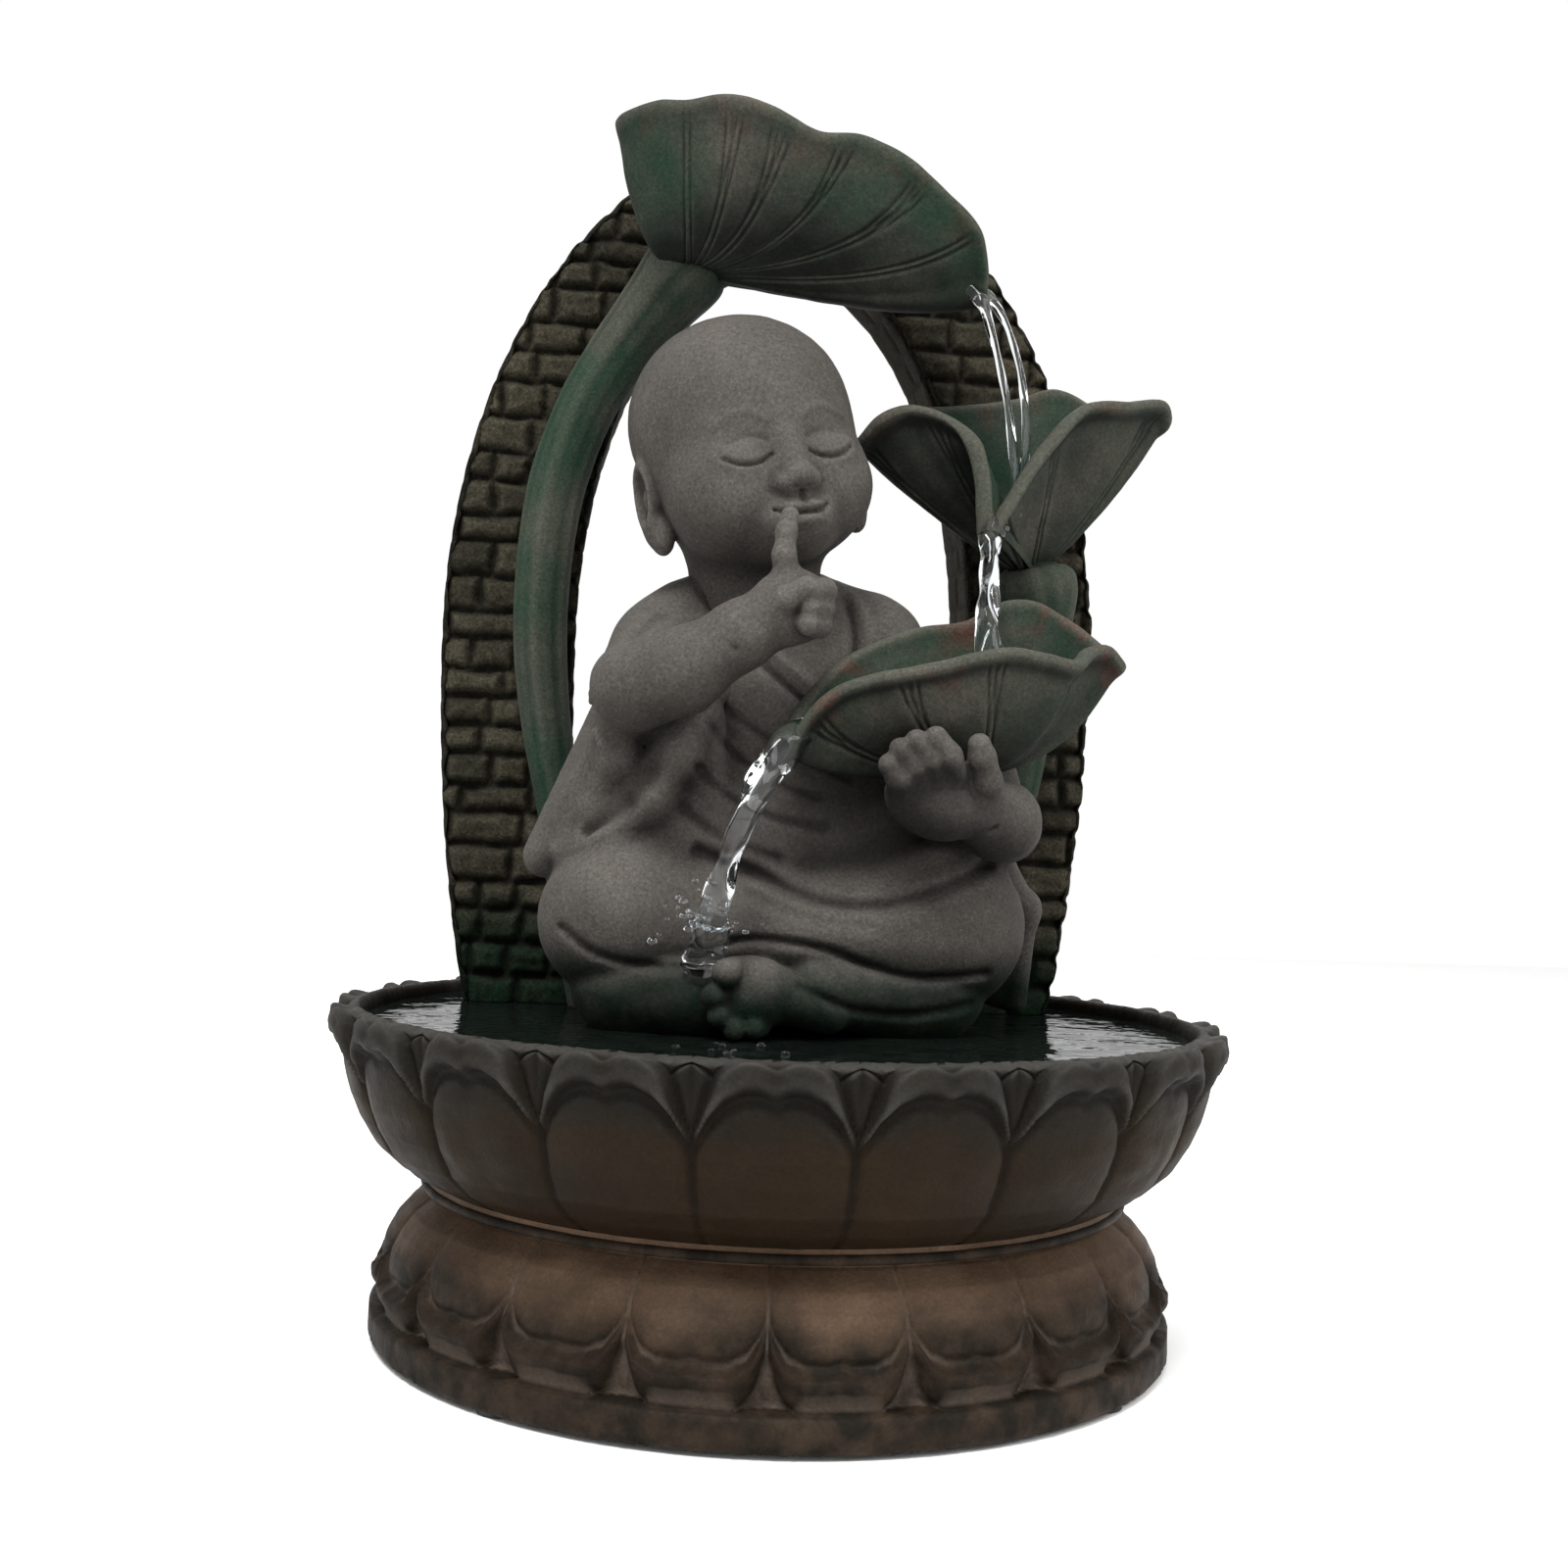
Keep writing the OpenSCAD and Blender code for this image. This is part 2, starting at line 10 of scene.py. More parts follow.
import bpy
import numpy as np
from mathutils import Matrix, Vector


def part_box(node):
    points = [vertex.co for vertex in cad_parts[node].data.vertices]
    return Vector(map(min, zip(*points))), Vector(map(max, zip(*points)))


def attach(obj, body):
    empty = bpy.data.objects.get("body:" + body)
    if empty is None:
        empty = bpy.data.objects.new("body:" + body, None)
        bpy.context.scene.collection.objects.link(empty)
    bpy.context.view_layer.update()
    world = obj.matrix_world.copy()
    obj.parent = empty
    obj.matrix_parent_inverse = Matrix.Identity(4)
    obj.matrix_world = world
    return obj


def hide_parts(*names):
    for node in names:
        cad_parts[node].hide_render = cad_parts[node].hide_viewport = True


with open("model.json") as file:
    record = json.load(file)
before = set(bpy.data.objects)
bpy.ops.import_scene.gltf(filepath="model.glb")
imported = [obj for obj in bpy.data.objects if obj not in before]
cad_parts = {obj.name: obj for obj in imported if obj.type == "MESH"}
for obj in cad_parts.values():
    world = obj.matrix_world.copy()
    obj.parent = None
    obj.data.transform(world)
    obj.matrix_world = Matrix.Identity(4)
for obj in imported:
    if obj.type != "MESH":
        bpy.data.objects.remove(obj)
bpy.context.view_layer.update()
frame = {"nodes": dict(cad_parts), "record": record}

MM = 0.001
FINE = 1.0


def node_box(node):
    """Lowest and highest corner of a CAD node, in millimetres."""
    low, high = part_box(node)
    return np.array(low) / MM, np.array(high) / MM


DECK_TOP = node_box("deck_plate")[1][2]
RIM_Z = node_box("lotus_basin")[1][2]
BEAD_Z = node_box("lotus_basin")[0][2]
FOOT_Z = node_box("pedestal")[0][2]
ARCH_LOW, ARCH_HIGH = node_box("brick_arch")
ARCH_FRONT = ARCH_LOW[1]
ARCH_BACK = ARCH_HIGH[1]
WATER_Z = DECK_TOP + 0.4
FLOOR_SIZE = 4000
PETALS = 20
PETAL_TURN = math.radians(-8)


# ---- Camera, floor and light ----

def build_camera(azimuth, distance, height, pitch, yaw, roll, lens):
    """A camera on the given side of the object. Angles are in degrees, lengths in metres."""
    a, p, y, r = (math.radians(v) for v in (azimuth, pitch, yaw, roll))
    place = np.array([math.sin(a) * distance, -math.cos(a) * distance, height])
    ahead = np.array([-math.sin(a + y) * math.cos(p), math.cos(a + y) * math.cos(p), math.sin(p)])
    level = np.array([math.cos(a + y), math.sin(a + y), 0.0])
    up = np.cross(level, ahead)
    right = level * math.cos(r) + up * math.sin(r)
    up = up * math.cos(r) - level * math.sin(r)
    camera = bpy.data.objects.new("camera", bpy.data.cameras.new("camera"))
    camera.data.lens = lens
    camera.data.sensor_width = 36
    camera.matrix_world = Matrix((
        (right[0], up[0], -ahead[0], place[0]),
        (right[1], up[1], -ahead[1], place[1]),
        (right[2], up[2], -ahead[2], place[2]),
        (0, 0, 0, 1)))
    bpy.context.collection.objects.link(camera)
    bpy.context.scene.camera = camera


def build_light(name, place, target, size, power):
    """A square lamp at place, facing target."""
    data = bpy.data.lights.new(name, "AREA")
    data.size = size
    data.energy = power
    lamp = bpy.data.objects.new(name, data)
    way = np.array(target) - np.array(place)
    lamp.location = place
    lamp.rotation_euler = (
        math.atan2(math.hypot(way[0], way[1]), -way[2]), 0, math.atan2(way[1], way[0]) - math.pi / 2)
    bpy.context.collection.objects.link(lamp)


def build_studio():
    """A white surround, a key light from above, two softer lights and a pale floor."""
    world = bpy.data.worlds.new("studio")
    world.use_nodes = True
    world.node_tree.nodes["Background"].inputs["Color"].default_value = (1, 1, 1, 1)
    world.node_tree.nodes["Background"].inputs["Strength"].default_value = 1.0
    bpy.context.scene.world = world
    bpy.context.scene.view_settings.view_transform = "Standard"
    middle = (0, 0, 0.2)
    build_light("key_light", (-0.35, -0.75, 1.45), middle, 0.6, 34)
    build_light("fill_light", (0.9, -0.6, 0.9), middle, 0.8, 9)
    build_light("back_light", (0.2, 0.9, 1.2), middle, 0.8, 9)
    points, faces = surface_grid(lambda u, v: (FLOOR_SIZE * (u - 0.5), FLOOR_SIZE * (v - 0.5), 0 * u), 3, 3)
    floor = new_piece("floor", points, faces, plain_material("floor_paper", (0.86, 0.86, 0.855), 0.9, 0.02, 60))


# ---- Numbers ----

RANDOM = np.random.default_rng(11)
LATTICE = RANDOM.random((32, 32, 32)).astype(np.float32)


def noise(points, size, octaves=3, shift=0.0):
    """Smooth noise from -1 to 1 at each point, with features of the given size."""
    total, weight, norm = 0.0, 1.0, 0.0
    for _ in range(octaves):
        q = points / size + shift
        cell = np.floor(q).astype(int)
        t = q - cell
        t = t * t * (3 - 2 * t)
        value = 0.0
        for corner in itertools.product((0, 1), repeat=3):
            share = np.prod(np.where(corner, t, 1 - t), axis=-1)
            i, j, k = np.moveaxis((cell + corner) % 32, -1, 0)
            value = value + share * LATTICE[i, j, k]
        total = total + weight * (2 * value - 1)
        norm += weight
        weight *= 0.5
        size *= 0.5
    return total / norm


def ramp(x, low, high):
    """0 below low, 1 above high, and smooth between them."""
    t = np.clip((x - low) / (high - low), 0, 1)
    return t * t * (3 - 2 * t)


def bump(x, width):
    """1 at 0, falling to either side."""
    return np.exp(-(x / width) ** 2)


def spline(points, count, closed=False):
    """Points on a smooth curve through the given ones."""
    p = np.array(points, float)
    n = len(p)
    s = np.linspace(0, n if closed else n - 1, count, endpoint=not closed)
    k = np.minimum(s.astype(int), n - 1 if closed else n - 2)
    t = (s - k)[:, None]
    if closed:
        a, b, c, d = p[(k - 1) % n], p[k % n], p[(k + 1) % n], p[(k + 2) % n]
    else:
        a, b, c, d = p[np.maximum(k - 1, 0)], p[k], p[k + 1], p[np.minimum(k + 2, n - 1)]
    return (2 * b + (c - a) * t + (2 * a - 5 * b + 4 * c - d) * t ** 2 + (3 * b - a - 3 * c + d) * t ** 3) / 2


def unit(v):
    """Vectors of length 1."""
    return v / np.maximum(np.linalg.norm(v, axis=-1, keepdims=True), 1e-9)


# ---- Meshes ----

def grid_faces(rows, columns, wrap):
    """Quads of a grid of points. With wrap, the last column joins the first."""
    i, j = np.meshgrid(np.arange(rows - 1), np.arange(columns if wrap else columns - 1), indexing="ij")
    i, j = i.ravel(), j.ravel()
    n = (j + 1) % columns
    return np.stack([i * columns + j, i * columns + n, (i + 1) * columns + n, (i + 1) * columns + j], 1)


def fans(columns, count):
    """Triangles that close both ends of a tube of count points to two middle points that follow them."""
    ring = np.arange(columns)
    following = (ring + 1) % columns
    low = np.stack([np.full(columns, count), following, ring], 1)
    high = np.stack([np.full(columns, count + 1), count - columns + ring, count - columns + following], 1)
    return np.concatenate([low, high])


def surface_grid(place, rows, columns, wrap=False):
    """Points and quads of a surface given by place(u, v), with u and v from 0 to 1."""
    u, v = np.meshgrid(np.linspace(0, 1, rows), np.linspace(0, 1, columns, endpoint=not wrap), indexing="ij")
    points = np.stack(np.broadcast_arrays(*place(u, v)), -1).reshape(-1, 3)
    return points, grid_faces(rows, columns, wrap)


def vertex_normals(points, faces):
    """Outward directions at each point of a mesh of quads or of triangles."""
    a, b, c, d = (points[faces[:, k]] for k in (0, 1, 2, -1))
    normal = np.cross(c - a, d - b) if faces.shape[1] == 4 else np.cross(b - a, c - a)
    total = np.zeros_like(points)
    for k in range(faces.shape[1]):
        np.add.at(total, faces[:, k], normal)
    return unit(total)


def soften(points, faces, rounds):
    """The points after averaging each with its neighbours."""
    a = faces.ravel()
    b = np.roll(faces, -1, axis=1).ravel()
    degree = np.bincount(np.concatenate([a, b]), minlength=len(points))[:, None]
    for _ in range(rounds):
        total = np.stack([
            np.bincount(a, points[b, k], len(points)) + np.bincount(b, points[a, k], len(points))
            for k in range(3)], 1)
        points = total / np.maximum(degree, 1)
    return points


def hollowness(points, faces, rounds=14, depth=1.2):
    """1 in creases and hollows, 0.5 on flats, 0 on ridges, and a little more on undersides, which is painted
    shade.
    """
    lift = soften(points, faces, rounds) - points
    normal = vertex_normals(points, faces)
    # Painted shade: faces that point down count as a little more hollow, so they come out darker
    under = 0.12 * ramp(-normal[:, 2], 0.05, 0.9)
    return np.clip(0.5 + under + np.sum(lift * normal, 1) / depth * 0.5, 0, 1)


def new_piece(name, points, faces, material, body=None, stands_for=(), masks=None):
    """Makes an object that rides on a body, stands for CAD nodes and has the given material.

    faces is an array of quads or triangles, or a list of such arrays. masks are the three channels
    that resin_material reads.
    """
    groups = faces if isinstance(faces, list) else [faces]
    mesh = bpy.data.meshes.new(name)
    mesh.vertices.add(len(points))
    mesh.vertices.foreach_set("co", (np.asarray(points, np.float32) * MM).ravel())
    corners = np.concatenate([g.ravel() for g in groups])
    sizes = np.concatenate([np.full(len(g), g.shape[1]) for g in groups])
    mesh.loops.add(len(corners))
    mesh.loops.foreach_set("vertex_index", corners)
    mesh.polygons.add(len(sizes))
    mesh.polygons.foreach_set("loop_start", np.concatenate([[0], np.cumsum(sizes)[:-1]]))
    mesh.update(calc_edges=True)
    mesh.validate()
    mesh.shade_smooth()
    if masks is not None:
        layer = mesh.attributes.new("mask", "FLOAT_COLOR", "POINT")
        colors = np.ones((len(points), 4), np.float32)
        for k, mask in enumerate(masks):
            colors[:, k] = mask
        layer.data.foreach_set("color", colors.ravel())
    mesh.materials.append(material)
    piece = bpy.data.objects.new(name, mesh)
    bpy.context.collection.objects.link(piece)
    if stands_for:
        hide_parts(*stands_for)
    if body:
        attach(piece, body)
    return piece


def sweep(line, radii, sides, profile=None):
    """Points and quads of a bar along a line. profile(angle, s) scales its radius."""
    way = unit(np.gradient(line, axis=0))
    side = unit(np.cross(way, [0, 1, 0.001]))
    up = np.cross(way, side)
    angle = np.linspace(0, 2 * math.pi, sides, endpoint=False)
    s = np.linspace(0, 1, len(line))
    scale = np.ones((len(line), sides)) if profile is None else profile(angle[None, :], s[:, None])
    r = np.asarray(radii)[:, None] * scale
    points = line[:, None] + r[..., None] * (
        np.cos(angle)[None, :, None] * side[:, None] + np.sin(angle)[None, :, None] * up[:, None])
    points = np.concatenate([points.reshape(-1, 3), line[:1], line[-1:]])
    return points, [grid_faces(len(line), sides, True), fans(sides, len(line) * sides)]


# ---- Solids from distance fields ----

def egg(p, centre, radii, axes=None):
    """Distance to an ellipsoid, close to true near its surface."""
    q = p - np.array(centre, float)
    if axes is not None:
        q = q @ axes
    r = np.array(radii, float)
    k = np.linalg.norm(q / r, axis=-1)
    return k * (k - 1) / np.maximum(np.linalg.norm(q / r ** 2, axis=-1), 1e-6)


def limb(p, a, b, ra, rb):
    """Distance to a bar with round ends, from radius ra at a to rb at b."""
    a, b = np.array(a, float), np.array(b, float)
    t = np.clip((p - a) @ (b - a) / np.dot(b - a, b - a), 0, 1)
    return np.linalg.norm(p - a - t[:, None] * (b - a), axis=-1) - (ra + (rb - ra) * t)


def chain(p, points, blend=1.5):
    """Distance to limbs through points given as (x, y, z, radius)."""
    d = None
    for a, b in zip(points[:-1], points[1:]):
        part = limb(p, a[:3], b[:3], a[3], b[3])
        d = part if d is None else join(d, part, blend)
    return d


def plate(p, a, b, c, thick):
    """Distance to a three-cornered sheet of cloth."""
    a, b, c = (np.array(v, float) for v in (a, b, c))
    normal = np.cross(b - a, c - a)
    inside = np.ones(len(p), bool)
    edge = np.full(len(p), np.inf)
    for u, v in ((a, b), (b, c), (c, a)):
        inside &= (p - u) @ np.cross(normal, v - u) > 0
        t = np.clip((p - u) @ (v - u) / np.dot(v - u, v - u), 0, 1)
        edge = np.minimum(edge, np.linalg.norm(p - u - t[:, None] * (v - u), axis=-1))
    flat = np.abs((p - a) @ unit(normal))
    return np.where(inside, flat, edge) - thick


def join(a, b, k):
    """Union of two fields, with a fillet of about k."""
    h = np.clip(0.5 + 0.5 * (b - a) / k, 0, 1)
    return b + (a - b) * h - k * h * (1 - h)


def carve(a, b, k):
    """Field a without field b, with a rounded edge."""
    return -join(-a, b, k)


def line_distance(p, points):
    """Distance to a line of straight stretches."""
    d = np.full(len(p), np.inf)
    points = np.array(points, float)
    for a, b in zip(points[:-1], points[1:]):
        t = np.clip((p - a) @ (b - a) / np.dot(b - a, b - a), 0, 1)
        d = np.minimum(d, np.linalg.norm(p - a - t[:, None] * (b - a), axis=-1))
    return d


def crease(p, d, points, width, depth):
    """A groove (or, with a negative depth, a fold) along a line of points."""
    line = spline(points, 3 * len(points))
    near = np.all((p > line.min(0) - 3 * width) & (p < line.max(0) + 3 * width), axis=1)
    groove = np.zeros(len(p))
    groove[near] = bump(line_distance(p[near], line), width)
    return d + depth * groove


def skin(field, low, high, step):
    """Points and quads of the surface where field is 0."""
    step *= FINE
    low = np.array(low, float)
    count = np.ceil((np.array(high) - low) / step).astype(int) + 1
    value = np.empty(count, np.float32)
    block = 16
    for corner in itertools.product(*(range(0, n, block) for n in count)):
        start = np.array(corner)
        stop = np.minimum(start + block, count)
        where = tuple(slice(*pair) for pair in zip(start, stop))
        middle = field((low + step * (start + stop - 1) / 2)[None])[0]
        if abs(middle) > step * block * 1.5:
            value[where] = middle
            continue
        grid = np.stack(np.meshgrid(*(np.arange(*pair) for pair in zip(start, stop)), indexing="ij"), -1)
        value[where] = field(low + step * grid.reshape(-1, 3)).reshape(stop - start)
    inside = value < 0
    corners = list(itertools.product((0, 1), repeat=3))
    total = sum(inside[a:count[0] - 1 + a, b:count[1] - 1 + b, c:count[2] - 1 + c].astype(int)
                for a, b, c in corners)
    cells = np.argwhere((total > 0) & (total < 8))
    number = np.full(count - 1, -1)
    number[tuple(cells.T)] = np.arange(len(cells))
    places = np.zeros((len(cells), 3))
    hits = np.zeros((len(cells), 1))
    for a, b in itertools.combinations(corners, 2):
        if sum(abs(i - j) for i, j in zip(a, b)) != 1:
            continue
        va = value[tuple((cells + a).T)].astype(float)
        vb = value[tuple((cells + b).T)].astype(float)
        crossed = (va < 0) != (vb < 0)
        t = np.where(crossed, va / np.where(crossed, va - vb, 1), 0)
        places += crossed[:, None] * (np.array(a) + t[:, None] * (np.array(b) - np.array(a)))
        hits += crossed[:, None]
    points = low + step * (cells + places / hits)
    quads = []
    for axis in range(3):
        u = np.eye(3, dtype=int)[(axis + 1) % 3]
        v = np.eye(3, dtype=int)[(axis + 2) % 3]
        ahead = np.roll(inside, -1, axis)
        edge = np.argwhere(inside != ahead)
        good = (edge[:, axis] < count[axis] - 1) & (edge @ u > 0) & (edge @ v > 0)
        edge = edge[good & (edge @ u < count @ u - 1) & (edge @ v < count @ v - 1)]
        quad = np.stack([number[tuple((edge - w).T)] for w in (0 * u, u, u + v, v)], 1)
        flip = ~inside[tuple(edge.T)]
        quad[flip] = quad[flip][:, ::-1]
        quads.append(quad)
    faces = np.concatenate(quads)
    for _ in range(2):
        h = 0.25 * step
        slope = np.stack([(field(points + h * e) - field(points - h * e)) / (2 * h) for e in np.eye(3)], 1)
        move = field(points)[:, None] * slope / np.maximum(np.sum(slope ** 2, 1), 0.2)[:, None]
        points = points - np.clip(move, -0.6 * step, 0.6 * step)
    return points, faces


# ---- Materials ----

def add(tree, kind, settings=None, **inputs):
    """A shader node. Inputs are values or other nodes' outputs."""
    made = tree.nodes.new("ShaderNode" + kind)
    for key, value in (settings or {}).items():
        setattr(made, key, value)
    for key, value in inputs.items():
        socket = made.inputs[key.replace("_", " ")]
        if isinstance(value, bpy.types.NodeSocket):
            tree.links.new(value, socket)
        else:
            socket.default_value = value
    return made


def mix(tree, share, a, b, mode="MIX"):
    """Colour a turning into b by share."""
    a = a if isinstance(a, bpy.types.NodeSocket) else (*a, 1)
    b = b if isinstance(b, bpy.types.NodeSocket) else (*b, 1)
    return add(tree, "MixRGB", {"blend_type": mode}, Fac=share, Color1=a, Color2=b).outputs["Color"]


def scaled(tree, value, low, high, to_low=0.0, to_high=1.0):
    return add(tree, "MapRange", {"clamp": True}, Value=value, From_Min=low, From_Max=high,
               To_Min=to_low, To_Max=to_high).outputs["Result"]


def times(tree, a, b):
    made = tree.nodes.new("ShaderNodeMath")
    made.operation = "MULTIPLY"
    for socket, value in zip(made.inputs, (a, b)):
        if isinstance(value, bpy.types.NodeSocket):
            tree.links.new(value, socket)
        else:
            socket.default_value = value
    return made.outputs[0]


def start_material(name):
    material = bpy.data.materials.new(name)
    material.use_nodes = True
    tree = material.node_tree
    return material, tree, tree.nodes["Principled BSDF"], add(tree, "TexCoord").outputs["Object"]


def texture(tree, place, scale, detail=3.0, roughness=0.6):
    return add(tree, "TexNoise", Vector=place, Scale=scale, Detail=detail, Roughness=roughness).outputs["Fac"]


def finish_surface(tree, shader, color, roughness, heights):
    """Joins colour, roughness and bumps, given as (height, distance) pairs, to the shader."""
    tree.links.new(color, shader.inputs["Base Color"])
    tree.links.new(roughness, shader.inputs["Roughness"])
    normal = None
    for height, distance in heights:
        made = add(tree, "Bump", Height=height, Distance=distance, Strength=1.0)
        if normal is not None:
            tree.links.new(normal, made.inputs["Normal"])
        normal = made.outputs["Normal"]
    tree.links.new(normal, shader.inputs["Normal"])


def resin_material(name, base, shade, patina, wear_and_highlight_color, stain=(0.045, 0.016, 0.011), grain=0.35, rough=0.82,
                   shine=0.1, wear_and_highlight=0.4, keep=1.0):
    """Speckled cast resin. The mesh's mask holds patina, hollows and stain in its three channels.

    Hollows above 0.5 get dirt and painted shade, and ridges below it get wear and painted highlight, where keep
    says how much of that shows on patina.
    """
    material, tree, shader, place = start_material(name)
    mask = add(tree, "SeparateColor", Color=add(
        tree, "Attribute", {"attribute_name": "mask"}).outputs["Color"]).outputs
    cloud = texture(tree, place, 26, 4)
    streak = texture(tree, place, 95, 3)
    speck = texture(tree, place, 900, 2, 0.8)
    color = mix(tree, scaled(tree, cloud, 0.35, 0.68), shade, base)
    color = mix(tree, times(tree, mask["Red"], scaled(tree, streak, 0.30, 0.60, 0.72, 1.0)), color, patina)
    color = mix(tree, mask["Blue"], color, stain)
    # Painted shade with dirt: hollows, broad dips and undersides darken towards a near-black
    dirt_and_shade = tuple(c * 0.22 for c in shade)
    color = mix(tree, scaled(tree, mask["Green"], 0.53, 0.85, 0.0, 0.85), color, dirt_and_shade)
    # Painted highlight with wear: ridges and broad swells lighten towards the lighter colour
    wear_and_highlight_share = times(tree, scaled(tree, mask["Green"], 0.46, 0.15, 0.0, wear_and_highlight),
                   scaled(tree, mask["Red"], 0.15, 0.85, 1.0, keep))
    color = mix(tree, wear_and_highlight_share, color, wear_and_highlight_color)
    dark = scaled(tree, speck, 0.30, 0.52, 1 - grain, 1.0)
    light = scaled(tree, speck, 0.55, 0.78, 1.0, 1 + 1.6 * grain)
    tone = times(tree, dark, light)
    color = mix(tree, 1.0, color, add(tree, "CombineColor", Red=tone, Green=tone, Blue=tone).outputs["Color"],
                "MULTIPLY")
    finish_surface(tree, shader, color, scaled(tree, streak, 0.3, 0.7, rough - 0.10, rough + 0.08),
                   [(speck, 0.00022), (streak, 0.0004)])
    shader.inputs["Specular IOR Level"].default_value = shine
    return material


def plain_material(name, color, rough, grain, scale, metal=0.0, height=0.00008):
    """Moulded plastic, rubber, metal or paper, with a fine grain in its colour and surface."""
    material, tree, shader, place = start_material(name)
    fine = texture(tree, place, scale, 4)
    tint = mix(tree, scaled(tree, fine, 0.3, 0.7), tuple(c * (1 - grain) for c in color),
               tuple(min(1, c * (1 + grain)) for c in color))
    roughness = scaled(tree, fine, 0.3, 0.7, rough - 0.06, rough + 0.06)
    finish_surface(tree, shader, tint, roughness, [(fine, height)])
    shader.inputs["Metallic"].default_value = metal
    return material


def pebble_material(name):
    """The deck: dark wet pebbles set in resin."""
    material, tree, shader, place = start_material(name)
    stones = add(tree, "TexVoronoi", {"feature": "SMOOTH_F1"}, Vector=place, Scale=260.0,
                 Smoothness=0.6).outputs["Distance"]
    cloud = texture(tree, place, 60, 4)
    color = mix(tree, scaled(tree, stones, 0.1, 0.7), (0.05, 0.052, 0.05), (0.012, 0.013, 0.013))
    color = mix(tree, scaled(tree, cloud, 0.4, 0.7, 0.0, 0.6), color, (0.02, 0.03, 0.024))
    finish_surface(tree, shader, color, scaled(tree, cloud, 0.35, 0.7, 0.22, 0.55), [(stones, -0.0012)])
    return material


def water_material(name, tint, alpha, transmission, ior):
    """Clear water with fine ripples, or with alpha below 1, a dark pool that shows what lies in it."""
    material, tree, shader, place = start_material(name)
    ripple = texture(tree, place, 90, 2)
    shader.inputs["Base Color"].default_value = (*tint, 1)
    shader.inputs["Roughness"].default_value = 0.02
    shader.inputs["IOR"].default_value = ior
    shader.inputs["Alpha"].default_value = alpha
    shader.inputs["Transmission Weight"].default_value = transmission
    rippled = add(tree, "Bump", Height=ripple, Distance=0.0006)
    tree.links.new(rippled.outputs["Normal"], shader.inputs["Normal"])
    return material


RESIN = {
    "figure": resin_material(
        "figure_resin", (0.062, 0.056, 0.050), (0.040, 0.036, 0.032), (0.0035, 0.009, 0.0052),
        (0.100, 0.092, 0.083), keep=0.04),
    "leaf": resin_material(
        "leaf_resin", (0.044, 0.041, 0.033), (0.013, 0.0155, 0.012), (0.0055, 0.022, 0.012),
        (0.078, 0.074, 0.060), keep=0.5, wear_and_highlight=0.5),
    "brick": resin_material(
        "brick_resin", (0.029, 0.025, 0.017), (0.0125, 0.012, 0.008), (0.003, 0.010, 0.005),
        (0.050, 0.045, 0.032), grain=0.6, shine=0.05, wear_and_highlight=0.45, keep=0.2),
    "basin": resin_material(
        "basin_resin", (0.0175, 0.0098, 0.0042), (0.011, 0.007, 0.0038), (0.0085, 0.0078, 0.0062),
        (0.036, 0.034, 0.030), grain=0.2, rough=0.6, shine=0.06, wear_and_highlight=0.7),
    "pedestal": resin_material(
        "pedestal_resin", (0.105, 0.067, 0.043), (0.055, 0.033, 0.020), (0.0088, 0.0070, 0.0050),
        (0.082, 0.064, 0.050), grain=0.2, rough=0.62, shine=0.06, wear_and_highlight=0.7),
}
SLOTS = {name + "_resin": material for name, material in RESIN.items()}
SLOTS["deck_resin"] = pebble_material("deck_resin")
for name, color, rough, grain, scale in (
        ("rubber", (0.016, 0.016, 0.017), 0.75, 0.25, 500),
        ("black_plastic", (0.020, 0.021, 0.023), 0.42, 0.2, 700),
        ("white_plastic", (0.62, 0.62, 0.58), 0.40, 0.06, 500),
        ("magnet", (0.035, 0.035, 0.037), 0.55, 0.3, 800),
        ("hose", (0.045, 0.052, 0.056), 0.28, 0.15, 300)):
    SLOTS[name] = plain_material(name, color, rough, grain, scale)
SLOTS["steel"] = plain_material("steel", (0.52, 0.52, 0.52), 0.32, 0.12, 900, metal=1.0)
SLOTS["copper"] = plain_material("copper", (0.48, 0.22, 0.10), 0.35, 0.2, 900, metal=1.0)
SLOTS["sponge"] = plain_material("sponge", (0.030, 0.034, 0.040), 0.95, 0.5, 1200, height=0.0004)


def paint_cad_nodes():
    """Gives each CAD node the material of its slot."""
    for part in frame["record"]["subparts"]:
        node = frame["nodes"][part["node"]]
        node.data.materials.clear()
        node.data.materials.append(SLOTS[part["material_slot"]])


# ---- Lotus basin and pedestal ----

def petal_place(angle, shift):
    """Where an angle lies on its petal: 0 on the middle line, 1 or -1 in the gaps beside it."""
    t = (angle - PETAL_TURN) * PETALS / (2 * math.pi) + shift
    return 2 * (t - np.round(t))


def turned_surface(profile, shift, columns):
    """A surface of rings. profile(t) gives each column's (radius, height) points from its place t."""
    angle = np.linspace(0, 2 * math.pi, columns, endpoint=False) + PETAL_TURN
    radius, height = profile(petal_place(angle, shift))
    points = np.stack([radius * np.sin(angle), -radius * np.cos(angle), height], -1).reshape(-1, 3)
    return points, grid_faces(radius.shape[0], columns, True)


def resample(r, z, count, share):
    """Rows of radius and height along a profile. Its outer wall gets the given share of the rows."""
    step = np.hypot(np.diff(r, axis=0), np.diff(z, axis=0))
    length = np.concatenate([np.zeros((1, r.shape[1])), np.cumsum(step, axis=0)])
    outer_wall = 0.28
    at = np.interp(np.linspace(0, 1, count), [0, share, 1], [0, outer_wall, 1])
    rows = np.empty((2, count, r.shape[1]))
    for k in range(r.shape[1]):
        s = length[:, k] / length[-1, k]
        rows[0, :, k] = np.interp(at, s, r[:, k])
        rows[1, :, k] = np.interp(at, s, z[:, k])
    return rows


